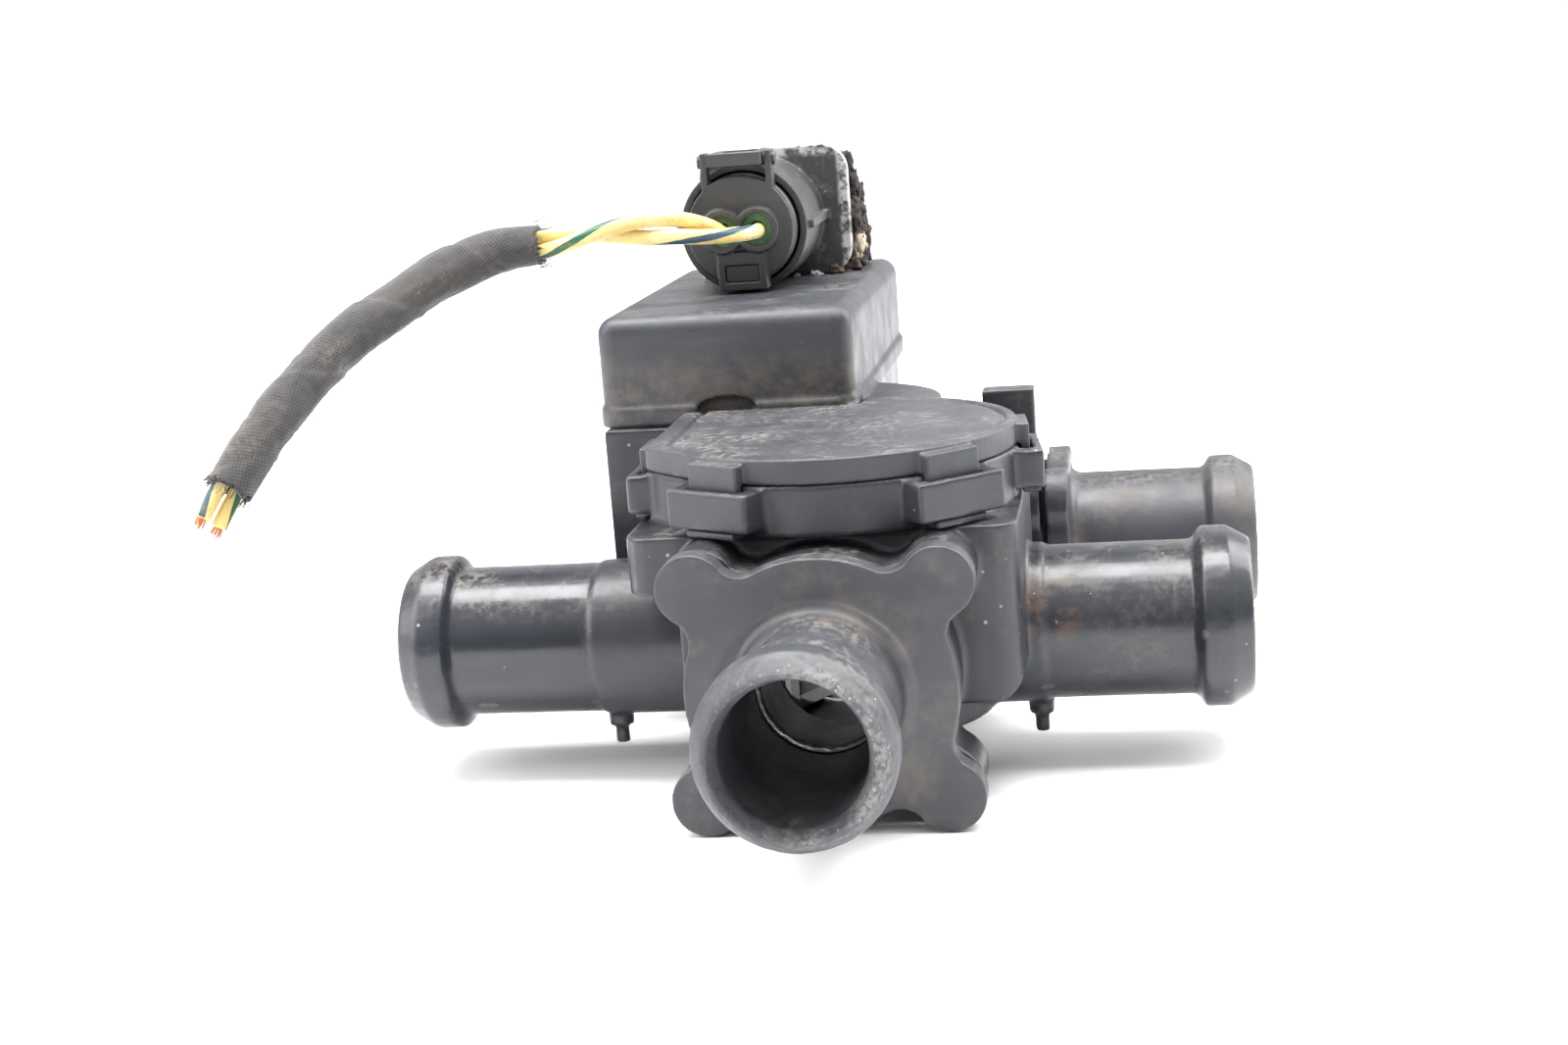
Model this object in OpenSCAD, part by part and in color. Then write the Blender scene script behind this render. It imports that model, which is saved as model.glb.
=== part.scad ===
// Motorised four-port coolant changeover valve with a cut connector tail.
// Origin: where the turning axis of the valve rotor crosses the axes of the hose ports.
// +X points along the two right-hand ports, -Y along the front port, +Z along the rotor axis.

/* [Hose ports] */
// Inside diameter of every port
port_bore_d = 16; // [13:0.5:16.5]
// Outside diameter of every hose barrel
barrel_d = 19; // [18:0.25:20]
// Largest diameter of the hose bead
bead_d = 22.2; // [20.8:0.2:24]
// Length of the bead, shoulder to open end
bead_len = 7; // [5:0.5:8]
// Length of the left, right and rear hose stubs
side_stub_len = 25.5; // [18:0.5:34]
// Length of the front hose stub, from its flange
front_stub_len = 24.2; // [16:0.2:34]

/* [Port flanges] */
// Distance from the rotor axis to the front flange's outer face
front_flange_y = 29.5; // [28:0.5:36]
// Thickness of each welded port flange
flange_t = 3.2; // [2:0.2:4.5]
// Half the spacing of the flange lobes across
lobe_half_x = 14; // [13:0.2:16]
// Half the spacing of the flange lobes up and down
lobe_half_z = 12.5; // [11:0.2:14]
// Radius of each flange lobe
lobe_r = 4.2; // [3:0.1:5]
// Thickness of the flat rubber port gaskets
gasket_t = 0.8; // [0.5:0.1:1.5]
// Distance from the rotor axis back to the rear port's axis
rear_port_y = 46; // [42:1:56]

/* [Valve chamber] */
// Inside radius of the chamber around the rotor
chamber_r = 16; // [14.5:0.25:17]
// Wall and floor thickness of the wet housing
wet_wall = 2; // [1.5:0.1:2.6]
// Thickness of the cap between the chamber and the gear room
cap_t = 3; // [2.4:0.1:4]
// Diameter of the rotor's shaft
rotor_shaft_d = 7; // [5:0.5:9]
// Thickness of the rotor's curved shutter
shutter_t = 1.8; // [1.2:0.1:2.4]
// Angle that the shutter spans
shutter_angle = 80; // [70:1:95]

/* [Gear train] */
// Module of all gear teeth
gear_module = 0.8; // [0.6:0.02:0.96]
// Teeth on the output gear
output_teeth = 44; // [40:1:48]
// Teeth on the two intermediate wheels
wheel_teeth = 36; // [30:1:40]
// Teeth on every pinion
pinion_teeth = 12; // [11:1:14]
// Face width of the intermediate wheels
wheel_t = 1.5; // [1.2:0.1:1.8]
// Face width of the output gear
output_t = 2.4; // [1.8:0.1:2.7]
// Diameter of the steel gear pins
gear_pin_d = 2; // [1.5:0.1:2.5]

/* [Motor] */
// Diameter of the motor can
motor_d = 24; // [20:0.5:28]
// Length of the motor can
motor_len = 19; // [14:0.5:20]
// Diameter of the motor shaft
motor_shaft_d = 2; // [1.5:0.1:2.5]

/* [Lid and cover] */
// Outside radius of the round lid and of the drum below it
drum_r = 22.1; // [21.5:0.1:26]
// Height of the round lid's top above the port axes
lid_top_z = 25.7; // [25:0.1:30]
// Depth of the lid's rim
lid_rim = 3; // [2:0.1:4]
// Wall of the lid, the cover and the gear room
dry_wall = 1.6; // [1.2:0.1:2.2]
// Height of the gear cover above its joint line
cover_h = 14.7; // [12:0.1:20]
// Height of the proud band at the foot of the cover
cover_band_h = 2.6; // [1.5:0.1:4]
// Distance from the rotor axis to the cover's front face
cover_front_y = 17.6; // [17:0.1:20]
// Space between the motor and the cover's rear wall, for the leads
lead_room = 11.4; // [9:0.2:16]

/* [Connector] */
// Outside diameter of the round socket shroud
shroud_d = 18; // [16:0.25:20]
// Wall of the shroud
shroud_wall = 1; // [0.8:0.1:1.5]
// Length of the shroud in front of its back plate
shroud_len = 17; // [13:0.5:20]
// Width of the socket's back plate
plate_w = 22; // [20:0.5:26]
// Height of the socket's back plate
plate_h = 19; // [16:0.2:21]
// Spacing of the two wires in the plug
pin_pitch = 5; // [4.5:0.1:6]

/* [Cord] */
// Diameter of each insulated wire
wire_d = 2.1; // [1.6:0.1:2.2]
// Outside diameter of the taped loom
loom_d = 6.4; // [6:0.1:7.2]
// Inside diameter of the tube in the loom
loom_bore_d = 4.8; // [4.7:0.1:5]

/* [Hidden] */
$fn = 48;
eps = 0.01;

plastic = "#3b3f47";
dark_plastic = "#2d3036";
rubber = "#1f2226";
nylon = "#d9d6cc";
steel = "#a9adb3";
copper = "#b8733a";
brass = "#b79a52";

// Heights, from the bottom of the wet housing upwards
body_floor_z = -10;
chamber_floor_z = body_floor_z + wet_wall;
drum_floor_z = 16.4;
gear_room_z = drum_floor_z + dry_wall;
cap_top_z = gear_room_z - 2.4;
cap_seat_z = cap_top_z - cap_t;
lid_joint_z = lid_top_z - lid_rim;
cover_joint_z = 23.8;
cover_top_z = cover_joint_z + cover_h;
output_z = gear_room_z + 0.2;
wheel_gap = 0.3;
second_wheel_z = output_z + output_t + wheel_gap;
first_wheel_z = second_wheel_z + wheel_t + 1.2;
first_pin_top_z = first_wheel_z + wheel_t + 2.4;

// Gear geometry
pressure_angle = 20;
backlash = 0.2;
tip_height = 0.8 * gear_module;
root_depth = 1.05 * gear_module;
function pitch_r(teeth) = gear_module * teeth / 2;
function tip_r(teeth) = pitch_r(teeth) + tip_height;
output_centre_d = pitch_r(output_teeth) + pitch_r(pinion_teeth);
stage_centre_d = pitch_r(wheel_teeth) + pitch_r(pinion_teeth);

// Gear room behind the drum, sized by the wheels that turn in it
gear_side_gap = 0.4;
cover_band_over = 0.5;
cover_w = 2 * (tip_r(wheel_teeth) + gear_side_gap + dry_wall);
cover_right_x = 0.3;
cover_cx = cover_right_x - cover_w / 2;
cover_left_x = cover_cx - cover_w / 2;
second_gear_angle = 105;
second_gear_xy = [output_centre_d * cos(second_gear_angle), output_centre_d * sin(second_gear_angle)];
second_case_r = tip_r(wheel_teeth) + gear_side_gap + dry_wall;
first_dx = cover_cx - second_gear_xy[0];
first_gear_xy = [cover_cx, second_gear_xy[1] + sqrt(pow(stage_centre_d, 2) - pow(first_dx, 2))];
// The cover's front wall stays clear of the first wheel
cover_wall_y = min(cover_front_y, first_gear_xy[1] - tip_r(wheel_teeth) - gear_side_gap - dry_wall);
motor_xy = [cover_cx, first_gear_xy[1] + stage_centre_d];
cover_back_y = motor_xy[1] + motor_d / 2 + lead_room + dry_wall;

// Motor
motor_gap = 0.3;
motor_top_z = first_wheel_z - 1.4;
motor_bottom_z = motor_top_z - motor_len;
motor_wall = 1;
end_cap_t = 2;
motor_pocket_floor_z = motor_bottom_z - end_cap_t - 1;
magnet_t = 2.4;
air_gap = 0.5;
armature_r = motor_d / 2 - motor_wall - magnet_t - air_gap;
armature_z = motor_bottom_z + 6.5;
armature_h = motor_top_z - motor_wall - 2.6 - armature_z;
commutator_r = 2.6;
lead_y = motor_xy[1] + motor_d / 2 + 3;
lead_half_gap = pin_pitch / 2;
lead_t = 1;

// Connector
socket_x = -17;
socket_z = cover_top_z + shroud_d / 2 - 0.2;
plate_cx = -15;
plate_y = 60;
plate_t = 2.4;
shroud_front_y = plate_y - shroud_len;
plug_gap = 0.3;
plug_r = shroud_d / 2 - shroud_wall - plug_gap;
plug_front_y = shroud_front_y - 4.5;
plug_back_y = plate_y - 3;
plug_core_r = 5.9;
tower_back_y = 79;
pin_w = 1;
latch_w = 7.6;
latch_t = 1.3;
latch_z = socket_z + shroud_d / 2 + 0.4;
catch_y = shroud_front_y + 1.8;
latch_pivot_r = 0.9;
rail_t = 0.9;

// Outer outline of the drum side and the housing
body_left_x = -24;
body_right_x = 22.5;
body_front_y = chamber_r + wet_wall + 0.4;
body_back_y = 18;
skirt_z = -5;
neck_y = front_flange_y - flange_t - gasket_t;
flange_r = barrel_d / 2 + 6.3;
rear_flange_r = barrel_d / 2 + 3;
rear_lobe_share = 0.62;
root_flare = 1.6;
gasket_d = port_bore_d + 5;
weld_ring_d = port_bore_d + 7.2;
passage_r = port_bore_d / 2 - 0.5;
tube_d = barrel_d + 0.7;
stub_lap = 0.5;
plate_inset = 0.3;
left_root_x = cover_left_x + 3.1;
right_root_x = body_right_x + 1.5;
rear_pad_x = 15;
rear_plate_top_z = 23;
rear_axis_x = 6;
rear_root_x = 26.8;
rear_neck_x = rear_root_x - flange_t - gasket_t;

// Clips around the lid: direction of each from the rotor axis
clip_angles = [-122, -48, 6];
clip_r = drum_r + 0.1;
clip_w = 12.3;
clip_bar_z = [17.5, 22.2];
clip_bar_out = 2.7;
tongue_w = 7.4;
tongue_t = 1.1;
tongue_foot_z = drum_floor_z + 0.15;
left_clip_x = -22.4;

// Locating pegs under the body
peg_d = 3.2;
peg_tip_d = 1.8;
peg_len = 4;
peg_xs = [-30.4, 23.4];

// Hose tail: [x, y, z, half the wires' spacing, twist in degrees], plug first
tail_route = [
    [-17.0, 42, 47.2, 2.5, 0],
    [-17.0, 38, 47.2, 2.5, 0],
    [-18.0, 34.5, 47.6, 2.0, 10],
    [-20.5, 32, 48.2, 1.6, 30],
    [-24.0, 31, 48.8, 1.3, 60],
    [-28.5, 30.5, 49.0, 1.2, 100],
    [-33.0, 30, 48.9, 1.2, 150],
    [-38.0, 29.5, 48.5, 1.2, 200],
    [-43.0, 29, 47.9, 1.2, 240],
    [-49.0, 28, 47.4, 1.2, 255],
    [-55.0, 26, 45.3, 1.2, 260],
    [-61.0, 22, 42.1, 1.2, 260],
    [-66.5, 16.5, 38.3, 1.2, 260],
    [-71.5, 11, 33.4, 1.2, 260],
    [-76.0, 5.5, 27.6, 1.2, 260],
    [-80.0, 1, 21.1, 1.2, 260],
    [-82.0, -1.5, 17.2, 1.3, 265]
];
loom_first = 8;
loom_last = 15;

// ---------- small shared shapes ----------

function last(list) = len(list) - 1;
function unit(v) = v / norm(v);
function place(row) = [row[0], row[1], row[2]];
function heading(rows, i) =
    unit(place(rows[min(i + 1, last(rows))]) - place(rows[max(i - 1, 0)]));
function arc(cx, cy, r, from, to, steps) =
    [for (i = [0 : steps]) let (a = from + (to - from) * i / steps) [cx + r * cos(a), cy + r * sin(a)]];

// A cylinder whose axis runs along X or Y, from one coordinate to another
module rod_x(r, from, to, y = 0, z = 0) {
    translate([from, y, z]) rotate([0, 90, 0]) cylinder(r = r, h = to - from);
}
module rod_y(r, from, to, x = 0, z = 0) {
    translate([x, from, z]) rotate([-90, 0, 0]) cylinder(r = r, h = to - from);
}
module rod_z(r, from, to, x = 0, y = 0) {
    translate([x, y, from]) cylinder(r = r, h = to - from);
}
module slab(from, to) {
    translate(from) cube(to - from);
}
// A flat rectangle with round corners
module round_rect(w, h, r) {
    square([w - 2 * r, h], center = true);
    square([w, h - 2 * r], center = true);
    for (x = [-1, 1], y = [-1, 1])
        translate([x * (w / 2 - r), y * (h / 2 - r)]) circle(r);
}

// ---------- hose ports ----------

// Profile of a stub on its own axis: root at 0, open end at len
module stub_profile(len, flare) {
    rb = port_bore_d / 2;
    ro = barrel_d / 2;
    rm = bead_d / 2;
    root = flare > 0 ? arc(ro + flare, flare, flare, 270, 180, 6) : [[ro, 0]];
    polygon(concat(
        [[rb, 0]], root,
        [[ro, len - bead_len], [rm - 0.5, len - bead_len + 0.7]],
        arc(rm - 0.7, len - bead_len + 1.4, 0.7, -30, 10, 3),
        arc(rm - 0.9, len - 3.1, 0.9, 0, 35, 3),
        [[ro + 0.15, len - 0.4], [ro - 0.25, len], [rb + 0.85, len], [rb, len - 2.2]]));
}
module stub(len, flare) {
    rotate_extrude($fn = 96) stub_profile(len, flare);
}
// The lobed outline of a welded flange, lying in X and Y: lobes pulled in to a share of their spacing
module flange_outline(core_r, share) {
    blend_r = 3;
    offset(r = -blend_r, $fn = 40) offset(r = blend_r, $fn = 40) {
        circle(core_r, $fn = 72);
        for (x = [-1, 1], y = [-1, 1])
            translate([x * lobe_half_x * share, y * lobe_half_z * share]) circle(lobe_r, $fn = 36);
    }
}
// One welded port: flange from 0 down to -flange_t, stub rising along +Z
module port_piece(len, core_r, share) {
    difference() {
        union() {
            translate([0, 0, -flange_t]) linear_extrude(flange_t) flange_outline(core_r, share);
            stub(len, root_flare);
        }
        translate([0, 0, -flange_t - eps]) cylinder(d = port_bore_d, h = flange_t + 2 * eps);
    }
}
module front_port() {
    color(plastic) translate([0, -front_flange_y, 0]) rotate([90, 0, 0])
        port_piece(front_stub_len, flange_r, 1);
}
module rear_port() {
    color(plastic) translate([rear_root_x, rear_port_y, 0]) rotate([0, 90, 0]) rotate(90)
        port_piece(side_stub_len, rear_flange_r, rear_lobe_share);
}
module gasket_piece() {
    difference() {
        cylinder(d = gasket_d, h = gasket_t);
        translate([0, 0, -eps]) cylinder(d = port_bore_d + 1, h = gasket_t + 2 * eps);
    }
}
module front_gasket() {
    color(rubber) translate([0, -neck_y, 0]) rotate([90, 0, 0]) gasket_piece();
}
module rear_gasket() {
    color(rubber) translate([rear_neck_x, rear_port_y, 0]) rotate([0, 90, 0]) gasket_piece();
}

// ---------- housing ----------

module body_plan() {
    w = body_right_x - body_left_x;
    translate([body_left_x + w / 2, (body_back_y - body_front_y) / 2])
        round_rect(w, body_back_y + body_front_y, 3);
}
module gear_room_plan(inset) {
    translate([cover_cx, (cover_wall_y + cover_back_y) / 2])
        round_rect(cover_w - 2 * inset, cover_back_y - cover_wall_y - 2 * inset, 3 - inset);
}
module clip_loop() {
    slot_w = tongue_w + 0.6;
    difference() {
        slab([clip_r - 1.5, -clip_w / 2, clip_bar_z[0]], [clip_r + clip_bar_out, clip_w / 2, clip_bar_z[1]]);
        slab([clip_r, -slot_w / 2, clip_bar_z[0] - 1], [clip_r + tongue_t + 0.5, slot_w / 2, clip_bar_z[1] + 1]);
    }
}
module body_front_outline() {
    corner = 4;
    polygon(concat(
        [[body_left_x, drum_floor_z + eps], [body_left_x, tube_d / 2 - 0.5], [-chamber_r - wet_wall, tube_d / 2 - 0.5],
         [-chamber_r - wet_wall, skirt_z]],
        arc(body_right_x - corner, skirt_z + corner, corner, -90, 0, 8),
        [[body_right_x, drum_floor_z + eps]]));
}
module body_outside() {
    // wet block with its skirt, and the chamber below it
    intersection() {
        translate([0, body_back_y, 0]) rotate([90, 0, 0])
            linear_extrude(body_back_y + body_front_y) body_front_outline();
        translate([0, 0, skirt_z - 1]) linear_extrude(drum_floor_z - skirt_z + 2) body_plan();
    }
    rod_z(chamber_r + wet_wall, body_floor_z, skirt_z + 1);
    // cross tube that joins the left and right stubs
    rod_x(tube_d / 2, left_root_x - stub_lap, right_root_x + stub_lap);
    // neck of the front port, with a weld rib around the gasket
    translate([0, -body_front_y + 1, 0]) rotate([90, 0, 0])
        linear_extrude(neck_y - body_front_y + 1) flange_outline(flange_r - 0.5, 0.97);
    translate([0, -neck_y + 1, 0]) rotate([90, 0, 0]) ring(weld_ring_d, gasket_d, 1 + gasket_t);
    // drum under the round lid
    translate([0, 0, drum_floor_z]) linear_extrude(lid_joint_z - drum_floor_z) lid_plan(0);
    // gear room behind the drum, and the wall below its left front corner
    difference() {
        union() {
            translate([0, 0, drum_floor_z]) linear_extrude(cover_joint_z - drum_floor_z) gear_room_plan(0.6);
            rod_z(second_case_r, drum_floor_z, cover_joint_z, second_gear_xy[0], second_gear_xy[1]);
        }
        translate([0, 0, lid_joint_z]) linear_extrude(10) lid_plan(-0.1);
    }
    slab([cover_left_x + 0.6, cover_wall_y - 2, -2], [body_left_x + 1, cover_wall_y + 4, cover_joint_z]);
    // motor pocket
    rod_z(motor_d / 2 + motor_gap + dry_wall, motor_pocket_floor_z - dry_wall, drum_floor_z + 1, motor_xy[0], motor_xy[1]);
    slab([motor_xy[0] - 6, motor_xy[1], motor_pocket_floor_z - dry_wall],
         [motor_xy[0] + 6, lead_y + 3.4, drum_floor_z + 1]);
    // rear gallery, and the pad that carries the rear port
    rod_y(tube_d / 2, chamber_r, rear_port_y + tube_d / 2, rear_axis_x);
    rod_x(tube_d / 2, rear_axis_x, rear_pad_x + 1, rear_port_y);
    translate([rear_pad_x, rear_port_y, 0]) rotate([0, 90, 0]) rotate(90)
        linear_extrude(rear_neck_x - rear_pad_x) flange_outline(rear_flange_r - 0.5, rear_lobe_share - 0.02);
    translate([rear_neck_x - 1, rear_port_y, 0]) rotate([0, 90, 0])
        ring(weld_ring_d, gasket_d, 1 + gasket_t);
    slab([rear_pad_x + plate_inset, rear_port_y - 6, 0],
         [rear_neck_x - plate_inset, rear_port_y - 2, rear_plate_top_z]);
}
module ring(outer_d, inner_d, h) {
    difference() {
        cylinder(d = outer_d, h = h);
        translate([0, 0, -1]) cylinder(d = inner_d, h = h + 2);
    }
}
module body_inside() {
    // wet passages
    rod_z(chamber_r - 0.8, chamber_floor_z, cap_seat_z + eps);
    rod_z(chamber_r, cap_seat_z, gear_room_z + eps);
    rod_y(passage_r, -front_flange_y, 0);
    rod_x(passage_r, left_root_x - 1, right_root_x + 1);
    rod_y(passage_r, 4, rear_port_y + passage_r, rear_axis_x);
    rod_x(passage_r, rear_axis_x - 4, rear_root_x, rear_port_y);
    // gear room under the lid and under the cover
    rod_z(drum_r - 1.9, gear_room_z, lid_joint_z + 1);
    translate([0, 0, gear_room_z]) linear_extrude(9) gear_room_plan(dry_wall);
    rod_z(second_case_r - dry_wall, gear_room_z, cover_joint_z + 1, second_gear_xy[0], second_gear_xy[1]);
    // motor pocket and the channel for its leads
    rod_z(motor_d / 2 + motor_gap, motor_pocket_floor_z, gear_room_z + 1, motor_xy[0], motor_xy[1]);
    slab([motor_xy[0] - 4.4, motor_xy[1], motor_pocket_floor_z],
         [motor_xy[0] + 4.4, lead_y + 1.8, gear_room_z + 1]);
}
module bearing_posts() {
    rod_z(gear_pin_d / 2 + 1.4, gear_room_z - dry_wall, output_z - 0.2, second_gear_xy[0], second_gear_xy[1]);
    rod_z(gear_pin_d / 2 + 1.4, gear_room_z - dry_wall, second_wheel_z - 0.2, first_gear_xy[0], first_gear_xy[1]);
}
module pegs() {
    for (x = peg_xs) {
        rod_z(peg_d / 2, body_floor_z - 1.6, body_floor_z + 1, x);
        rod_z(peg_tip_d / 2, body_floor_z - peg_len, body_floor_z, x);
    }
}
module body_bores() {
    translate([0, 0, chamber_floor_z - 1.2]) cylinder(r = rotor_shaft_d / 2 + 1.5, h = 2);
    for (p = [second_gear_xy, first_gear_xy])
        rod_z(gear_pin_d / 2, gear_room_z - dry_wall + 0.4, gear_room_z + 9, p[0], p[1]);
}
module valve_body() {
    color(plastic) difference() {
        union() {
            difference() {
                body_outside();
                body_inside();
            }
            bearing_posts();
            translate([left_root_x, 0, 0]) rotate([0, -90, 0]) stub(side_stub_len, 0);
            translate([right_root_x, 0, 0]) rotate([0, 90, 0]) stub(side_stub_len, 0);
            pegs();
            for (a = clip_angles) rotate(a) clip_loop();
            translate([left_clip_x + clip_r, 0, 0]) rotate(180) translate([0, 3, 0]) clip_loop();
        }
        body_bores();
    }
}

// ---------- wet parts inside the chamber ----------

shaft_r = rotor_shaft_d / 2;
running_gap = 0.05;
cap_gap = 0.05;
seal_w = 1.6;
seal_h = 1.6;
module chamber_cap() {
    color(nylon) difference() {
        rod_z(chamber_r - cap_gap, cap_seat_z, cap_top_z);
        rod_z(shaft_r + running_gap, cap_seat_z - 1, cap_top_z + 1);
        rod_z(shaft_r + seal_w, cap_top_z - seal_h, cap_top_z + 1);
    }
}
module shaft_seal() {
    color(rubber) difference() {
        rod_z(shaft_r + seal_w, cap_top_z - seal_h, cap_top_z - 0.1);
        rod_z(shaft_r + running_gap, cap_top_z - seal_h - 1, cap_top_z + 1);
    }
}
foot_r = shaft_r - 1;
module rotor_foot_bush() {
    color(nylon) difference() {
        rod_z(shaft_r + 1.5, chamber_floor_z - 1.2, chamber_floor_z + 0.2);
        rod_z(foot_r + running_gap, chamber_floor_z - 2, chamber_floor_z + 1);
    }
}
// The shutter's place at rest: its middle, seen from above
shutter_middle = 205;
seal_skin = 0.6;
shutter_r = chamber_r - 0.8 - 0.4 - seal_skin;
shutter_half_h = port_bore_d / 2 + 0.4;
module sector(r_in, r_out, angle, from, to) {
    rotate(shutter_middle - angle / 2) translate([0, 0, from])
        rotate_extrude(angle = angle, $fn = 96) translate([r_in, 0]) square([r_out - r_in, to - from]);
}
rotor_floor_z = chamber_floor_z + 0.4;
rotor_top_z = rotor_floor_z + 2 * shutter_half_h;
module valve_rotor() {
    web_t = 1.6;
    web_inset = 0.3;
    color(dark_plastic) union() {
        rod_z(foot_r, chamber_floor_z - 1, rotor_floor_z + 1);
        rod_z(shaft_r, rotor_floor_z, cap_top_z + 0.6);
        // square drive on top of the shaft
        slab([-drive_half, -drive_half, cap_top_z], [drive_half, drive_half, output_z + output_t]);
        sector(shutter_r - shutter_t, shutter_r, shutter_angle, rotor_floor_z, rotor_top_z);
        for (z = [rotor_floor_z + web_inset, rotor_top_z - web_inset - web_t])
            sector(shaft_r - 0.5, shutter_r - shutter_t + 0.3, shutter_angle - 6, z, z + web_t);
        // stiffening rib with its notch
        rotate(shutter_middle) difference() {
            slab([shaft_r - 0.5, -web_t / 2, rotor_floor_z + 0.9], [shutter_r - 0.9, web_t / 2, rotor_top_z - 0.9]);
            slab([shaft_r + 3, -web_t, -2.5], [shutter_r - shutter_t - 1.5, web_t, 2.5]);
        }
    }
}
drive_half = shaft_r * 0.68;
module shutter_seal() {
    color(rubber)
        sector(shutter_r, shutter_r + seal_skin, shutter_angle - 6, rotor_floor_z + 0.6, rotor_top_z - 0.6);
}

// ---------- gears ----------

function involute(a) = tan(a) * 180 / PI - a;
function half_tooth(teeth, r, slack) =
    let (rp = pitch_r(teeth), rb = rp * cos(pressure_angle))
    90 / teeth - (backlash / 4 + slack) / rp * 180 / PI + involute(pressure_angle)
        - involute(acos(min(1, rb / max(r, rb))));
function tooth_radii(teeth) =
    let (rp = pitch_r(teeth))
    [rp - root_depth, max(rp * cos(pressure_angle), rp - root_depth + 0.1), rp, rp + tip_height / 2, tip_r(teeth)];
tooth_slack = [0.02, 0.05, 0, 0.01, 0.06];
function gear_outline(teeth) =
    let (radii = tooth_radii(teeth), n = last(radii))
    [for (i = [0 : teeth - 1]) each concat(
        [for (k = [0 : n]) polar(radii[k], i * 360 / teeth - half_tooth(teeth, radii[k], tooth_slack[k]))],
        [for (k = [n : -1 : 0]) polar(radii[k], i * 360 / teeth + half_tooth(teeth, radii[k], tooth_slack[k]))])];
function polar(r, a) = [r * cos(a), r * sin(a)];
// Toothed disc with one tooth pointing along the angle phase
module gear(teeth, h, phase) {
    rotate(phase) linear_extrude(h) polygon(gear_outline(teeth));
}
// Directions between the centres, each from the slower shaft to the faster one
to_second = second_gear_angle;
to_first = atan2(first_gear_xy[1] - second_gear_xy[1], first_gear_xy[0] - second_gear_xy[0]);
to_motor = 90;
function gap_phase(teeth, direction) = direction + 180 + 180 / teeth;

module output_gear() {
    color(nylon) difference() {
        union() {
            translate([0, 0, output_z]) gear(output_teeth, output_t, to_second);
            rod_z(shaft_r + 2.2, cap_top_z + 0.7, output_z + output_t + 1);
        }
        slab([-drive_half, -drive_half, cap_top_z], [drive_half, drive_half, output_z + output_t + 2]);
        rod_z(shaft_r + running_gap, cap_top_z, cap_top_z + 0.72);
        for (a = [0 : 60 : 300]) rotate(a + 30) rod_z(2.8, output_z - 1, output_z + output_t + 1, 11);
    }
}
pin_gap = 0.05;
module compound_gear(centre, low_z, wheel_low_z, pinion_phase, wheel_phase, top_z) {
    translate([centre[0], centre[1], 0]) difference() {
        union() {
            translate([0, 0, low_z]) gear(pinion_teeth, wheel_low_z - low_z + eps, pinion_phase);
            translate([0, 0, wheel_low_z]) gear(wheel_teeth, wheel_t, wheel_phase);
            rod_z(gear_pin_d / 2 + 1.2, wheel_low_z, top_z);
        }
        rod_z(gear_pin_d / 2 + pin_gap, low_z - 1, top_z + 1);
    }
}
module second_gear() {
    color(nylon) compound_gear(second_gear_xy, output_z, second_wheel_z,
        gap_phase(pinion_teeth, to_second), to_first, second_wheel_z + wheel_t + 0.2);
}
module first_gear() {
    color(nylon) compound_gear(first_gear_xy, second_wheel_z, first_wheel_z,
        gap_phase(pinion_teeth, to_first), to_motor, first_wheel_z + wheel_t + 1);
}
module gear_pin(centre, top_z) {
    rod_z(gear_pin_d / 2, gear_room_z - dry_wall + 0.4, top_z, centre[0], centre[1]);
}
module second_gear_pin() {
    color(steel) gear_pin(second_gear_xy, second_wheel_z + wheel_t + 0.3);
}
module first_gear_pin() {
    color(steel) gear_pin(first_gear_xy, first_pin_top_z);
}

// ---------- motor ----------

bush_r = 3;
bush_h = 2.2;
module at_motor() {
    translate([motor_xy[0], motor_xy[1], 0]) children();
}
module motor_can() {
    color(steel) at_motor() difference() {
        union() {
            rod_z(motor_d / 2, motor_bottom_z, motor_top_z);
            rod_z(bush_r + 0.8, motor_top_z - 1, motor_top_z + 0.8);
        }
        rod_z(motor_d / 2 - motor_wall, motor_bottom_z - 1, motor_top_z - motor_wall);
        rod_z(bush_r, motor_top_z - 3, motor_top_z + 2);
    }
}
module motor_magnets() {
    r_out = motor_d / 2 - motor_wall;
    color(rubber) at_motor() for (a = [0, 180]) rotate(a - 62) translate([0, 0, armature_z])
        rotate_extrude(angle = 124, $fn = 72)
            translate([r_out - magnet_t, 0]) square([magnet_t, armature_h]);
}
module motor_end_cap() {
    color(dark_plastic) at_motor() difference() {
        union() {
            rod_z(motor_d / 2, motor_bottom_z - end_cap_t, motor_bottom_z);
            rod_z(motor_d / 2 - motor_wall, motor_bottom_z - 0.5, motor_bottom_z + 1);
            rod_z(bush_r + 1, motor_bottom_z - end_cap_t, motor_bottom_z + 1.6);
        }
        rod_z(bush_r, motor_bottom_z - end_cap_t + 0.8, motor_bottom_z + 3);
        rod_z(motor_shaft_d / 2 + 0.3, motor_bottom_z - end_cap_t - 1, motor_bottom_z + 3);
        for (x = [-1, 1]) translate([x * brush_x, 0, 0])
            slab([-brush_w / 2, -1.2, motor_bottom_z - 0.6], [brush_w / 2, 1.2, motor_bottom_z + 3]);
        lead_slots();
    }
}
brush_w = 1.2;
brush_x = commutator_r + 0.1 + brush_w / 2 + 1;
module lead_slots() {
    for (x = [-1, 1]) translate([x * lead_half_gap, 0, 0])
        slab([-lead_t / 2, motor_d / 2 - 4, motor_bottom_z - 1.4], [lead_t / 2, motor_d / 2 + 3, motor_bottom_z - 0.4]);
}
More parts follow.
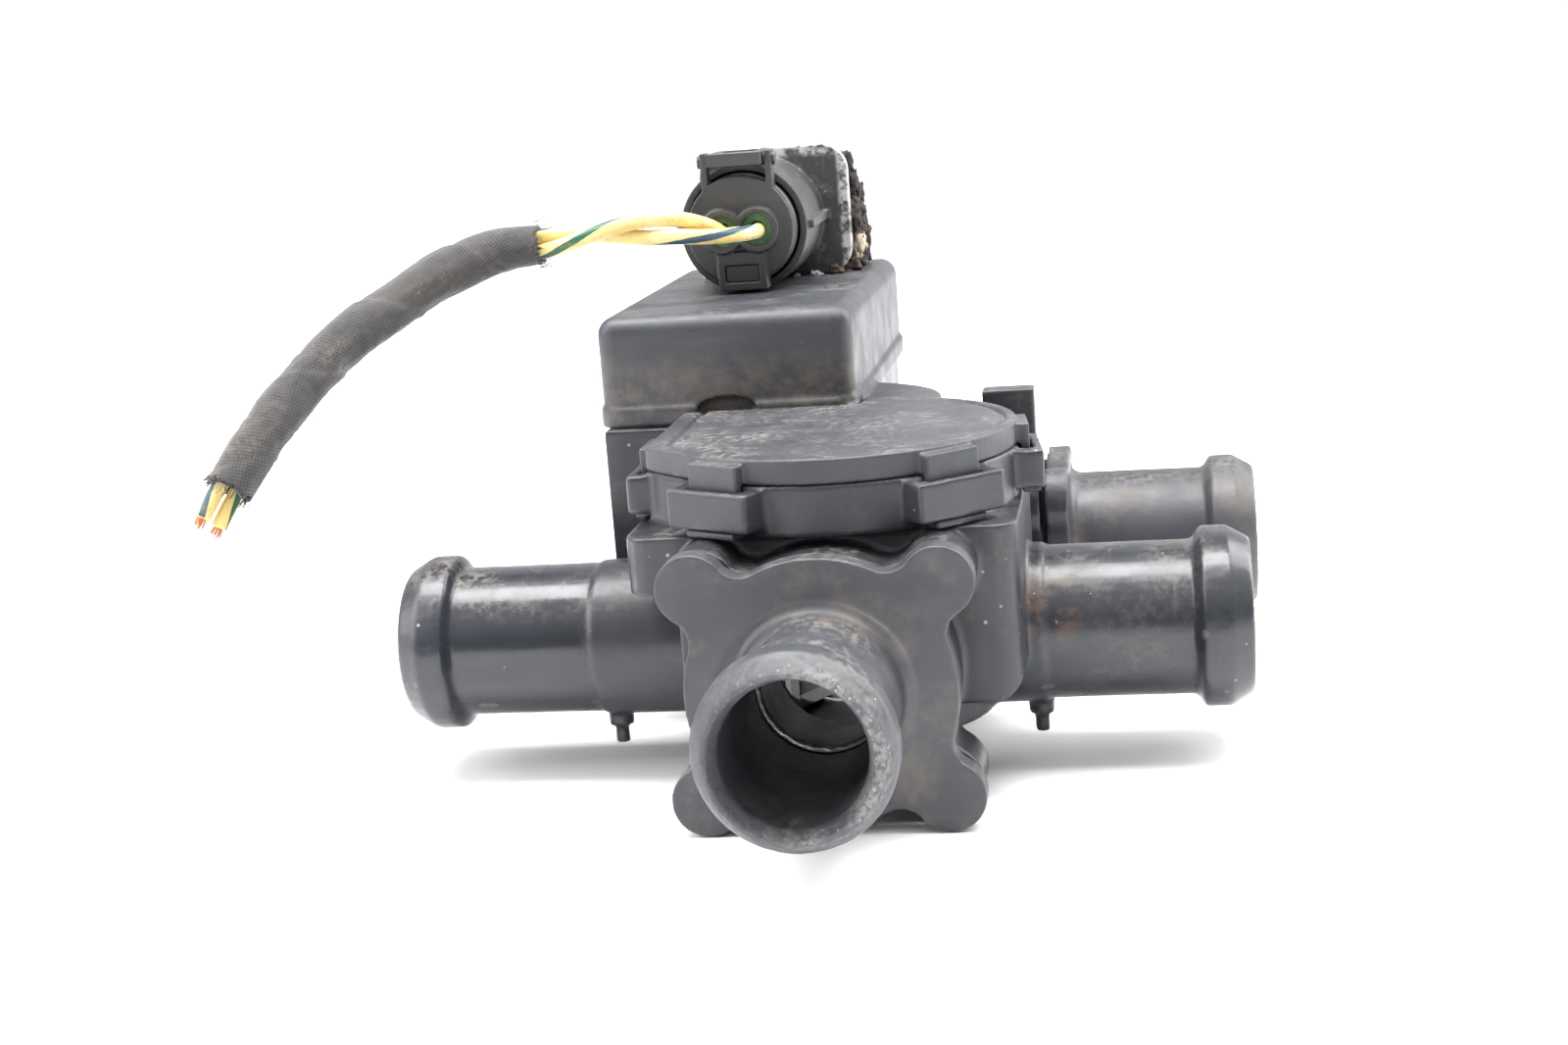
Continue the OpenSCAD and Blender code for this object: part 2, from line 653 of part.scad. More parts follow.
module motor_brushes() {
    color(copper) at_motor() for (a = [0, 180]) rotate(a) {
        slab([brush_x - brush_w / 2, -1.2, motor_bottom_z - 0.6],
             [brush_x + brush_w / 2, 1.2, motor_bottom_z + 4.4]);
        slab([commutator_r + 0.1, -1, motor_bottom_z + 2.8], [brush_x + eps, 1, motor_bottom_z + 4.4]);
    }
}
module motor_bushes() {
    color(brass) at_motor() for (z = [motor_bottom_z - end_cap_t + 0.8, motor_top_z + 0.8 - bush_h]) difference() {
        rod_z(bush_r, z, z + bush_h);
        rod_z(motor_shaft_d / 2 + running_gap, z - 1, z + bush_h + 1);
    }
}
module motor_shaft() {
    color(steel) at_motor()
        rod_z(motor_shaft_d / 2, motor_bottom_z - end_cap_t + 0.9, first_wheel_z + wheel_t + 0.6);
}
module motor_pinion() {
    color(brass) at_motor() difference() {
        translate([0, 0, first_wheel_z - 0.3]) gear(pinion_teeth, wheel_t + 0.6, gap_phase(pinion_teeth, to_motor));
        rod_z(motor_shaft_d / 2, first_wheel_z - 1, first_wheel_z + wheel_t + 2);
    }
}
pole_angle = 88;
armature_hub_r = 3;
module pole_sector(r_in, r_out, from, to, angle) {
    for (a = [0, 120, 240]) rotate(a - angle / 2) translate([0, 0, from])
        rotate_extrude(angle = angle, $fn = 72) translate([r_in, 0]) square([r_out - r_in, to - from]);
}
module armature_core() {
    color(steel) at_motor() difference() {
        union() {
            rod_z(armature_hub_r, armature_z, armature_z + armature_h);
            for (a = [0, 120, 240]) rotate(a)
                slab([2, -1.3, armature_z], [armature_r - 1, 1.3, armature_z + armature_h]);
            pole_sector(armature_r - 1.4, armature_r, armature_z, armature_z + armature_h, pole_angle);
        }
        rod_z(motor_shaft_d / 2, armature_z - 1, armature_z + armature_h + 1);
    }
}
module armature_windings() {
    coil_r = armature_r - 1.6;
    coil_y = 1.4;
    color(copper) at_motor() for (a = [0, 120, 240], side = [0, 1]) rotate(a) mirror([0, side, 0])
        translate([0, 0, armature_z - 0.6]) linear_extrude(armature_h + 1.2)
            polygon([[sqrt(pow(armature_hub_r + 0.2, 2) - pow(coil_y, 2)), coil_y],
                     [sqrt(pow(coil_r, 2) - pow(coil_y, 2)), coil_y],
                     polar(coil_r, 34), polar(max(coil_r - 1.7, armature_hub_r + 0.2), 36)]);
}
module commutator() {
    color(copper) at_motor() difference() {
        rod_z(commutator_r, motor_bottom_z + 2.4, motor_bottom_z + 5);
        rod_z(motor_shaft_d / 2, motor_bottom_z, motor_bottom_z + 8);
        for (a = [60, 180, 300]) rotate(a)
            slab([1.5, -0.15, motor_bottom_z], [4, 0.15, motor_bottom_z + 4.6]);
    }
}
// Two stiff leads from the motor's end cap up to the socket's pins
module motor_leads() {
    foot_z = motor_bottom_z - 1.4;
    color(copper) for (x = [-1, 1]) translate([motor_xy[0] + x * lead_half_gap, 0, 0]) {
        slab([-lead_t / 2, motor_xy[1] + motor_d / 2 - 4, foot_z], [lead_t / 2, lead_y + lead_t / 2, foot_z + lead_t]);
        slab([-lead_t / 2, lead_y - lead_t / 2, foot_z], [lead_t / 2, lead_y + lead_t / 2, cover_top_z - 4]);
    }
}

// ---------- lid ----------

// Round lid with one straight side on the left, cut off square where the gear cover stands
lid_corner = [left_clip_x, -8.6];
lid_tangent_a = atan2(lid_corner[1], lid_corner[0]) + acos(drum_r / norm(lid_corner));
lid_gap = 0.2;
lid_back_y = cover_wall_y - cover_band_over - lid_gap;
module lid_plan(inset) {
    offset(delta = -inset) difference() {
        union() {
            circle(drum_r, $fn = 120);
            polygon([[0, 0], [0, lid_back_y], [left_clip_x, lid_back_y], lid_corner, polar(drum_r, lid_tangent_a)]);
        }
        translate([-40, lid_back_y]) square([40 + cover_right_x + cover_band_over + lid_gap, 20]);
    }
}
module tongue() {
    slab([clip_r - 1.2, -tongue_w / 2, lid_joint_z], [clip_r + tongue_t + 0.1, tongue_w / 2, lid_top_z - 0.6]);
    slab([clip_r + 0.1, -tongue_w / 2, tongue_foot_z], [clip_r + tongue_t + 0.1, tongue_w / 2, lid_joint_z + eps]);
    slab([clip_r + 0.1, -tongue_w / 2, tongue_foot_z], [clip_r + tongue_t + 1.2, tongue_w / 2, clip_bar_z[0] - 0.1]);
}
groove_w = 0.8;
groove_d = 0.5;
module round_lid() {
    color(plastic) difference() {
        union() {
            translate([0, 0, lid_joint_z]) linear_extrude(lid_rim) lid_plan(0);
            for (a = clip_angles) rotate(a) tongue();
            translate([left_clip_x + clip_r, 0, 0]) rotate(180) translate([0, 3, 0]) tongue();
        }
        translate([0, 0, lid_joint_z - 1]) linear_extrude(lid_rim - dry_wall + 1) lid_plan(2.6);
        // groove around the panel: straight on the left, round on the right
        translate([0, 0, lid_top_z - groove_d])
            slab([-19.2 - groove_w, -8.5, 0], [-19.2, cover_wall_y, groove_d + 1]);
        rotate(-25) translate([0, 0, lid_top_z - groove_d])
            rotate_extrude(angle = 113, $fn = 120) translate([drum_r - 2, 0]) square([groove_w, 1]);
    }
}
module lid_gasket() {
    color(rubber) translate([0, 0, lid_joint_z - 0.001]) difference() {
        linear_extrude(0.6) lid_plan(2.65);
        translate([0, 0, -1]) linear_extrude(3) lid_plan(3.5);
    }
}

// ---------- gear cover ----------

// A block with round upright edges and a rounded top rim
module soft_block(x0, x1, y0, y1, z0, z1, r) {
    hull() for (x = [x0 + r, x1 - r], y = [y0 + r, y1 - r]) {
        translate([x, y, z0]) cylinder(r = r, h = z1 - z0 - r, $fn = 32);
        translate([x, y, z1 - r]) sphere(r = r, $fn = 32);
    }
}
module tower(shrink) {
    x0 = plate_cx - plate_w / 2 + 1 + shrink;
    x1 = plate_cx + plate_w / 2 - 1 - shrink;
    top = cover_top_z + plate_h - 1 - shrink;
    translate([x0, 0, 0]) rotate([90, 0, 90]) linear_extrude(x1 - x0)
        polygon([[plate_y + plate_t, cover_top_z - 3], [plate_y + plate_t, top], [plate_y + plate_t + 3.5, top],
                 [tower_back_y - 2.2 * shrink, cover_top_z + 2 - shrink], [tower_back_y - 2.2 * shrink, cover_top_z - 3]]);
}
// Part of the foot that reaches over the second gear, behind the round lid
module cover_foot() {
    difference() {
        intersection() {
            rod_z(second_case_r, cover_joint_z, cover_joint_z + dry_wall, second_gear_xy[0], second_gear_xy[1]);
            slab([cover_right_x - 1, cover_wall_y - 6, 0], [60, 60, 40]);
        }
        translate([0, 0, cover_joint_z - 1]) linear_extrude(10) lid_plan(-0.2);
    }
}
module gear_cover() {
    wall_top = cover_top_z - dry_wall;
    color(plastic) difference() {
        union() {
            soft_block(cover_left_x, cover_right_x, cover_wall_y, cover_back_y, cover_joint_z, cover_top_z, 2.4);
            translate([0, 0, cover_joint_z]) linear_extrude(cover_band_h) gear_room_plan(-cover_band_over);
            cover_foot();
            tower(0);
        }
        translate([0, 0, cover_joint_z - 1]) linear_extrude(wall_top - cover_joint_z + 1)
            gear_room_plan(dry_wall);
        difference() {
            tower(dry_wall);
            slab([cover_left_x, plate_y - 4, cover_top_z], [cover_right_x, plate_y + plate_t + eps, cover_top_z + 30]);
        }
        // arched recess at the foot of the front face
        translate([cover_cx, cover_wall_y - 0.7, lid_top_z]) rotate([-90, 0, 0]) scale([1, 0.42, 1])
            cylinder(r = 4, h = 1.6);
    }
    // boss that holds the top of the first gear's pin
    color(plastic) difference() {
        rod_z(gear_pin_d / 2 + 1.4, first_pin_top_z - 1.3, wall_top + 0.5, first_gear_xy[0], first_gear_xy[1]);
        rod_z(gear_pin_d / 2, first_pin_top_z - 2, first_pin_top_z + 0.1, first_gear_xy[0], first_gear_xy[1]);
    }
}
module cover_gasket() {
    color(rubber) translate([0, 0, cover_joint_z]) difference() {
        linear_extrude(0.8) gear_room_plan(dry_wall + 0.02);
        translate([0, 0, -1]) linear_extrude(4) gear_room_plan(dry_wall + gear_side_gap - 0.1);
        slab([-60, -60, -1], [60, cover_wall_y + 4, 4]);
    }
}

// ---------- connector ----------

module connector_socket() {
    color(dark_plastic) difference() {
        union() {
            translate([plate_cx, plate_y + plate_t - 0.05, cover_top_z + plate_h / 2 + 0.05])
                rotate([90, 0, 0]) linear_extrude(plate_t - 0.1) round_rect(plate_w, plate_h, 4);
            rod_y(shroud_d / 2, shroud_front_y, plate_y + 1, socket_x, socket_z);
            // catch for the latch, and side ribs
            slab([socket_x - latch_w / 2 + 1.7, catch_y, socket_z + shroud_d / 2 - 1],
                 [socket_x + latch_w / 2 - 1.7, catch_y + 1.4, socket_z + shroud_d / 2 + 0.7]);
            for (x = [-1, 1]) slab([socket_x + x * 9.4 - 0.5, shroud_front_y + 1, socket_z - 0.6],
                                   [socket_x + x * 9.4 + 0.5, plate_y, socket_z + 0.6]);
        }
        rod_y(shroud_d / 2 - shroud_wall, shroud_front_y - 1, plate_y - 1.4, socket_x, socket_z);
        for (x = [-1, 1]) rod_y(pin_w / 2, plate_y - 4, plate_y + 6, socket_x + x * pin_pitch / 2, socket_z);
        // nothing of the socket goes below the cover's top
        slab([-60, 0, 0], [60, 100, cover_top_z + 0.05]);
    }
}
module socket_pins() {
    pin_bend_y = plate_y + plate_t + 3.6;
    color(brass) for (x = [-1, 1]) {
        rod_y(pin_w / 2, plate_y - 9, plate_y + plate_t + 4, socket_x + x * pin_pitch / 2, socket_z);
        translate([socket_x + x * pin_pitch / 2, 0, 0])
            slab([-0.5, pin_bend_y, socket_z - 0.5], [0.5, pin_bend_y + 1, socket_z + 0.5]);
        translate([socket_x + x * pin_pitch / 2, 0, 0])
            slab([-0.5, pin_bend_y, cover_top_z - 4], [0.5, pin_bend_y + 1, socket_z + 0.5]);
        slab([min(socket_x, motor_xy[0]) + x * pin_pitch / 2 - 0.5, min(pin_bend_y, lead_y - 0.5), cover_top_z - 4],
             [max(socket_x, motor_xy[0]) + x * pin_pitch / 2 + 0.5, max(pin_bend_y, lead_y) + 0.5, cover_top_z - 3]);
    }
}
// Two wire barrels side by side, as a figure eight
module barrels(r, from, to) {
    for (x = [-1, 1]) rod_y(r, from, to, socket_x + x * pin_pitch / 2, socket_z);
}
module plug_housing() {
    seal_y = shroud_front_y + 5;
    color(dark_plastic) difference() {
        union() {
            rod_y(plug_core_r, shroud_front_y - 1, plug_back_y, socket_x, socket_z);
            rod_y(plug_r, shroud_front_y - 1, seal_y, socket_x, socket_z);
            rod_y(plug_r - 0.2, shroud_front_y - 3.2, shroud_front_y - 0.8, socket_x, socket_z);
            barrels(3.1, plug_front_y, shroud_front_y);
            // lower block with its window
            slab([socket_x - 3.4, shroud_front_y - 4, socket_z - 8.3], [socket_x + 3.4, shroud_front_y - 0.4, socket_z - 3]);
            // side rails of the latch
            for (x = [-1, 1]) translate([socket_x + x * (latch_w / 2 + 0.3 + rail_t / 2), 0, 0])
                slab([-rail_t / 2, shroud_front_y - 3.2, socket_z + 4], [rail_t / 2, shroud_front_y - 0.5, latch_z + 1.4]);
        }
        barrels(wire_seal_r + 0.02, plug_front_y - 1, plug_front_y + 4.4);
        barrels(terminal_r + 0.05, plug_front_y + 4, plug_back_y + 1);
        lock_window();
        // pivot holes of the latch
        rod_x(latch_pivot_r + running_gap, socket_x - 8, socket_x + 8, latch_axis_y, latch_axis_z);
    }
}
wire_seal_r = 2.2;
terminal_r = 1.5;
latch_axis_y = shroud_front_y - 1.8;
latch_axis_z = latch_z + 0.2;
lock_z = socket_z - 6;
module lock_window() {
    slab([socket_x - 2.4, shroud_front_y - 5, lock_z - 1.2], [socket_x + 2.4, shroud_front_y - 1, lock_z + 1.2]);
}
module plug_lock() {
    color(dark_plastic) slab([socket_x - 2.3, shroud_front_y - 3.7, lock_z - 1.1],
                             [socket_x + 2.3, shroud_front_y - 1.1, lock_z + 1.1]);
}
module plug_latch() {
    hook_y = catch_y + 1.6;
    hook_t = 1.4;
    color(dark_plastic) union() {
        slab([socket_x - latch_w / 2, shroud_front_y - 5, latch_z - 0.45],
             [socket_x + latch_w / 2, shroud_front_y - 0.6, latch_z + latch_t]);
        for (x = [-1, 1]) translate([socket_x + x * (latch_w / 2 - 0.7), 0, 0])
            slab([-0.7, shroud_front_y - 1, latch_z], [0.7, hook_y + hook_t, latch_z + latch_t]);
        slab([socket_x - latch_w / 2, hook_y, latch_z - 0.2], [socket_x + latch_w / 2, hook_y + hook_t, latch_z + latch_t]);
        rod_x(latch_pivot_r, socket_x - latch_w / 2 - 0.3 - rail_t - 0.5, socket_x + latch_w / 2 + 0.3 + rail_t + 0.5,
              latch_axis_y, latch_axis_z);
    }
}
module plug_seal_ring() {
    color(rubber) difference() {
        rod_y(shroud_d / 2 - shroud_wall - 0.02, shroud_front_y + 6, shroud_front_y + 9, socket_x, socket_z);
        rod_y(plug_core_r + 0.02, shroud_front_y + 5, shroud_front_y + 10, socket_x, socket_z);
    }
}
module wire_seals() {
    color("#3f6b45") difference() {
        barrels(wire_seal_r, plug_front_y + 0.8, plug_front_y + 4.2);
        barrels(wire_d / 2 + 0.15, plug_front_y, plug_front_y + 5);
    }
}
module plug_terminals() {
    color(brass) difference() {
        barrels(terminal_r, plug_front_y + 4.6, plug_back_y - 1);
        barrels(pin_w / 2 + 0.05, plate_y - 10, plug_back_y);
    }
}

// ---------- cord ----------

// Horizontal normal and the twisted offset of one wire at a row of the route
function side_of(rows, i) = unit(cross(heading(rows, i), [0, 0, 1]));
function over_of(rows, i) = cross(side_of(rows, i), heading(rows, i));
function wire_point(rows, i, hand) =
    place(rows[i]) + hand * rows[i][3] *
        (cos(rows[i][4]) * side_of(rows, i) + sin(rows[i][4]) * over_of(rows, i));
function wire_route(hand) = [for (i = [0 : last(tail_route)]) wire_point(tail_route, i, hand)];
function loom_route() = [for (i = [loom_first : loom_last]) place(tail_route[i])];

// Sweep a round section along a list of points
module sweep(points, r, sides) {
    rings = [for (i = [0 : last(points)])
        let (t = unit(points[min(i + 1, last(points))] - points[max(i - 1, 0)]),
             s = unit(cross(t, [0, 0, 1])), u = cross(s, t))
        for (k = [0 : sides - 1]) points[i] + r * (cos(360 * k / sides) * s + sin(360 * k / sides) * u)];
    walls = [for (i = [0 : last(points) - 1], k = [0 : sides - 1])
        let (a = i * sides + k, b = i * sides + (k + 1) % sides)
        each [[a, b, b + sides], [a, b + sides, a + sides]]];
    ends = [[for (k = [sides - 1 : -1 : 0]) k], [for (k = [0 : sides - 1]) last(points) * sides + k]];
    polyhedron(points = rings, faces = concat(walls, ends), convexity = 6);
}
module green_stripe_wire() {
    color("#d9c65a") sweep(wire_route(1), wire_d / 2, 8);
}
module blue_stripe_wire() {
    color("#d9c65a") sweep(wire_route(-1), wire_d / 2, 8);
}
tape_t = 0.5;
module loom_tape() {
    color("#34343a") difference() {
        sweep(loom_route(), loom_d / 2, 12);
        sweep(longer(loom_route()), loom_d / 2 - tape_t, 12);
    }
}
module loom_tube() {
    color(rubber) difference() {
        sweep(loom_route(), loom_d / 2 - tape_t, 12);
        sweep(longer(loom_route()), loom_bore_d / 2, 12);
    }
}
// The same route, run on a little past both ends
function longer(points) = let (n = last(points)) concat(
    [points[0] + 0.5 * unit(points[0] - points[1])],
    [for (i = [1 : n - 1]) points[i]],
    [points[n] + 0.5 * unit(points[n] - points[n - 1])]);
module copper_ends() {
    core_r = wire_d * 0.3;
    color(copper) for (hand = [-1, 1]) {
        route = wire_route(hand);
        tip = route[last(route)];
        t = unit(tip - route[last(route) - 1]);
        sweep([tip, tip + 1.8 * t], core_r, 8);
    }
}

valve_body();
front_port();
rear_port();
front_gasket();
rear_gasket();
chamber_cap();
shaft_seal();
rotor_foot_bush();
valve_rotor();
shutter_seal();
output_gear();
second_gear();
second_gear_pin();
first_gear();
first_gear_pin();
motor_can();
motor_magnets();
motor_end_cap();
motor_brushes();
motor_bushes();
motor_shaft();
motor_pinion();
armature_core();
armature_windings();
commutator();
motor_leads();
round_lid();
lid_gasket();
gear_cover();
cover_gasket();
connector_socket();
socket_pins();
plug_housing();
plug_latch();
plug_lock();
plug_seal_ring();
wire_seals();
plug_terminals();
green_stripe_wire();
blue_stripe_wire();
loom_tube();
loom_tape();
copper_ends();
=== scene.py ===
import math
import random

import bmesh
import bpy
import numpy as np
from mathutils import Matrix, Vector, noise


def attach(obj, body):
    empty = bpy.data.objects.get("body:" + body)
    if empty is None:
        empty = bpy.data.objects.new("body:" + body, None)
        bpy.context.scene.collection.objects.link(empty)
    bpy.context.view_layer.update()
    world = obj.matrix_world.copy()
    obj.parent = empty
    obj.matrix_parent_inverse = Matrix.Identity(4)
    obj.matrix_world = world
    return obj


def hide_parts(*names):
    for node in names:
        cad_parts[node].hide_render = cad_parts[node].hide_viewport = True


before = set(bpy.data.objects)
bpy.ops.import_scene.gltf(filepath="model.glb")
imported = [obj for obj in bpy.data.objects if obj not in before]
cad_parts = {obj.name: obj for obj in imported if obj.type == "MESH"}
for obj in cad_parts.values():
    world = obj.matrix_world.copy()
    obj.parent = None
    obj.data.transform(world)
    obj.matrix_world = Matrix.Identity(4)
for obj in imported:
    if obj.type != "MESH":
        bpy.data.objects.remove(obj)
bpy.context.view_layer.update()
MM = 0.001
HOUSING = "housing"
scene = bpy.context.scene


# ---------------------------------------------------------------- camera

def make_camera():
    data = bpy.data.cameras.new("camera")
    data.sensor_width = 36
    data.lens = 52.25
    data.clip_start = 0.01
    data.clip_end = 20
    cam = bpy.data.objects.new("camera", data)
    scene.collection.objects.link(cam)
    right = Vector((0.98674, 0.14479, -0.07336))
    up = Vector((0.04142, 0.21239, 0.97632))
    back = Vector((0.15695, -0.96640, 0.20357))
    m = Matrix((right, up, back)).transposed().to_4x4()
    m.translation = Vector((0.03716, -0.274565, 0.071675))
    cam.matrix_world = m
    scene.camera = cam


make_camera()


# ---------------------------------------------------------------- node helper

class Shader:
    """A material with a Principled shader, and short ways to add nodes to it."""

    def __init__(self, name, roughness=0.5, ior=1.5):
        self.mat = bpy.data.materials.new(name)
        self.mat.use_nodes = True
        self.tree = self.mat.node_tree
        self.bsdf = self.tree.nodes["Principled BSDF"]
        self.bsdf.inputs["IOR"].default_value = ior
        self.bsdf.inputs["Roughness"].default_value = roughness
        self._coords = None

    def node(self, kind, inputs=None, **props):
        n = self.tree.nodes.new(kind)
        for k, v in props.items():
            setattr(n, k, v)
        for k, v in (inputs or {}).items():
            self.put(n.inputs[k], v)
        return n

    def put(self, socket, value):
        if isinstance(value, bpy.types.NodeSocket):
            self.tree.links.new(value, socket)
        elif isinstance(value, (tuple, list)) and len(value) == 3 and socket.type == "RGBA":
            socket.default_value = (*value, 1)
        else:
            socket.default_value = value

    @property
    def coords(self):
        if self._coords is None:
            self._coords = self.node("ShaderNodeTexCoord").outputs["Object"]
        return self._coords

    def uv(self):
        return self.node("ShaderNodeUVMap", uv_map="UVMap").outputs["UV"]

    def scaled(self, vector, scale, shift=(0, 0, 0)):
        return self.node("ShaderNodeMapping", {"Vector": vector, "Scale": scale, "Location": shift}).outputs[0]

    def noise(self, scale, detail=3.0, rough=0.55, vector=None):
        n = self.node("ShaderNodeTexNoise", {"Vector": vector or self.coords, "Scale": scale, "Detail": detail,
                                             "Roughness": rough})
        return n.outputs["Fac"]

    def cells(self, scale):
        n = self.node("ShaderNodeTexVoronoi", {"Vector": self.coords, "Scale": scale})
        return n.outputs["Distance"]

    def math(self, op, a, b=0.0, clamp=False):
        n = self.node("ShaderNodeMath", operation=op, use_clamp=clamp)
        self.put(n.inputs[0], a)
        self.put(n.inputs[1], b)
        return n.outputs[0]

    def ramp(self, value, lo, hi, out_lo=0.0, out_hi=1.0):
        n = self.node("ShaderNodeMapRange", {"Value": value, "From Min": lo, "From Max": hi,
                                             "To Min": out_lo, "To Max": out_hi}, interpolation_type="SMOOTHSTEP")
        return n.outputs[0]

    def mix(self, fac, a, b):
        n = self.node("ShaderNodeMix", data_type="RGBA")
        self.put(n.inputs["Factor"], fac)
        self.put(n.inputs[6], a)
        self.put(n.inputs[7], b)
        return n.outputs[2]

    def near(self, point, radius, soft=0.5):
        """1 inside a ball round a point (mm), fading out."""
        d = self.node("ShaderNodeVectorMath", {0: self.coords, 1: tuple(c * MM for c in point)},
                      operation="DISTANCE").outputs["Value"]
        return self.ramp(d, radius * MM * (1 - soft), radius * MM, 1.0, 0.0)

    def along(self, axis, lo, hi):
        """0 below lo (mm) and 1 above hi on one axis."""
        x = self.node("ShaderNodeSeparateXYZ", {0: self.coords}).outputs["XYZ".index(axis)]
        return self.ramp(x, lo * MM, hi * MM)

    def up(self):
        n = self.node("ShaderNodeNewGeometry")
        return self.node("ShaderNodeSeparateXYZ", {0: n.outputs["Normal"]}).outputs[2]

    def point(self):
        return self.node("ShaderNodeNewGeometry").outputs["Pointiness"]

    def bump(self, height, strength, distance, after=None):
        inputs = {"Height": height, "Strength": strength, "Distance": distance}
        if after is not None:
            inputs["Normal"] = after
        return self.node("ShaderNodeBump", inputs).outputs[0]

    def done(self, colour=None, rough=None, normal=None):
        if colour is not None:
            self.put(self.bsdf.inputs["Base Color"], colour)
        if rough is not None:
            self.put(self.bsdf.inputs["Roughness"], rough)
        if normal is not None:
            self.put(self.bsdf.inputs["Normal"], normal)
        return self.mat


# ---------------------------------------------------------------- materials

def housing_plastic(name, base=(0.030, 0.032, 0.038), worn=(0.085, 0.085, 0.092), dust_amount=0.5,
                    gloss=0.36, extra=None, edges=True):
    """Glass-filled moulded plastic: flow marks, fine grain, rubbed edges, dust that settles on top."""
    s = Shader(name, ior=1.52)
    broad = s.noise(45, 4, 0.6)
    flow = s.noise(1, 3, 0.6, s.scaled(s.coords, (60, 260, 420)))
    colour = s.mix(s.ramp(broad, 0.32, 0.7), base, tuple(c * 1.45 for c in base))
    colour = s.mix(s.ramp(flow, 0.55, 0.8, 0, 0.5), colour, tuple(c * 2.0 for c in base))
    # pale glass specks
    specks = s.ramp(s.cells(1500), 0.10, 0.05)
    colour = s.mix(s.math("MULTIPLY", specks, 0.25), colour, worn)
    # scuffs: broken long streaks
    streak = s.noise(1, 2, 0.5, s.scaled(s.coords, (900, 90, 160)))
    scuff = s.math("MULTIPLY", s.ramp(streak, 0.66, 0.78), s.ramp(s.noise(70, 2), 0.5, 0.68))
    colour = s.mix(s.math("MULTIPLY", scuff, 0.55), colour, worn)
    if edges:
        edge = s.math("MULTIPLY", s.ramp(s.point(), 0.515, 0.58), s.ramp(s.noise(260, 3), 0.38, 0.62))
        colour = s.mix(s.math("MULTIPLY", edge, 0.75), colour, worn)
        hollow = s.math("MULTIPLY", s.ramp(s.point(), 0.485, 0.42), s.ramp(s.noise(140, 3), 0.35, 0.65))
        colour = s.mix(s.math("MULTIPLY", hollow, 0.45), colour, (0.13, 0.105, 0.08))
    # settled dust, brownish grey
    fine = s.noise(900, 4, 0.7)
    dust = s.math("MULTIPLY", s.ramp(s.up(), 0.35, 0.95), s.ramp(s.noise(110, 5, 0.7), 0.38, 0.75))
    dust = s.math("MULTIPLY", dust, s.ramp(fine, 0.4, 0.62))
    colour = s.mix(s.math("MULTIPLY", dust, dust_amount), colour, (0.27, 0.235, 0.20))
    grime = s.math("MULTIPLY", s.ramp(s.noise(38, 5, 0.7), 0.56, 0.72), s.ramp(fine, 0.42, 0.6))
    colour = s.mix(s.math("MULTIPLY", grime, 0.35), colour, (0.12, 0.10, 0.08))
    # loose pale crumbs
    crumbs = s.math("MULTIPLY", s.ramp(s.cells(420), 0.07, 0.03), s.ramp(s.noise(55, 2), 0.56, 0.64))
    colour = s.mix(s.math("MULTIPLY", crumbs, 0.8), colour, (0.42, 0.36, 0.28))
    rough = s.ramp(s.noise(160, 4, 0.6), 0.3, 0.75, gloss, gloss + 0.16)
    rough = s.math("ADD", rough, s.math("MULTIPLY", dust, 0.35), True)
    rough = s.math("ADD", rough, s.math("MULTIPLY", scuff, 0.15), True)
    if extra:
        colour, rough = extra(s, colour, rough)
    normal = s.bump(fine, 0.22, 0.00006)
    normal = s.bump(s.noise(140, 3), 0.16, 0.0004, normal)
    normal = s.bump(crumbs, 0.5, 0.0002, normal)
    return s.done(colour, rough, normal)


def body_marks(s, colour, rough):
    # brown crack and stain at the root of the right stub, and white flecks on the left one
    stain = s.math("MULTIPLY", s.near((25, -8, 4), 6), s.ramp(s.noise(330, 4, 0.7), 0.47, 0.6))
    colour = s.mix(s.math("MULTIPLY", stain, 0.45), colour, (0.13, 0.075, 0.045))
    fleck = s.math("MULTIPLY", s.ramp(s.cells(300), 0.09, 0.04), s.ramp(s.noise(80, 2), 0.52, 0.6))
    colour = s.mix(s.math("MULTIPLY", fleck, 0.5), colour, (0.5, 0.49, 0.47))
    # polished bands where the hose clips sat
    ring = s.math("MULTIPLY", s.along("X", -54, -46), s.math("SUBTRACT", 1.0, s.along("X", -36, -30)))
    rough = s.math("SUBTRACT", rough, s.math("MULTIPLY", ring, 0.08), True)
    # the stubs are smoother than the block
    stubs = s.math("ADD", s.along("X", 23, 26), s.math("SUBTRACT", 1.0, s.along("X", -33, -30)), True)
    rough = s.math("SUBTRACT", rough, s.math("MULTIPLY", stubs, 0.10), True)
    return colour, rough


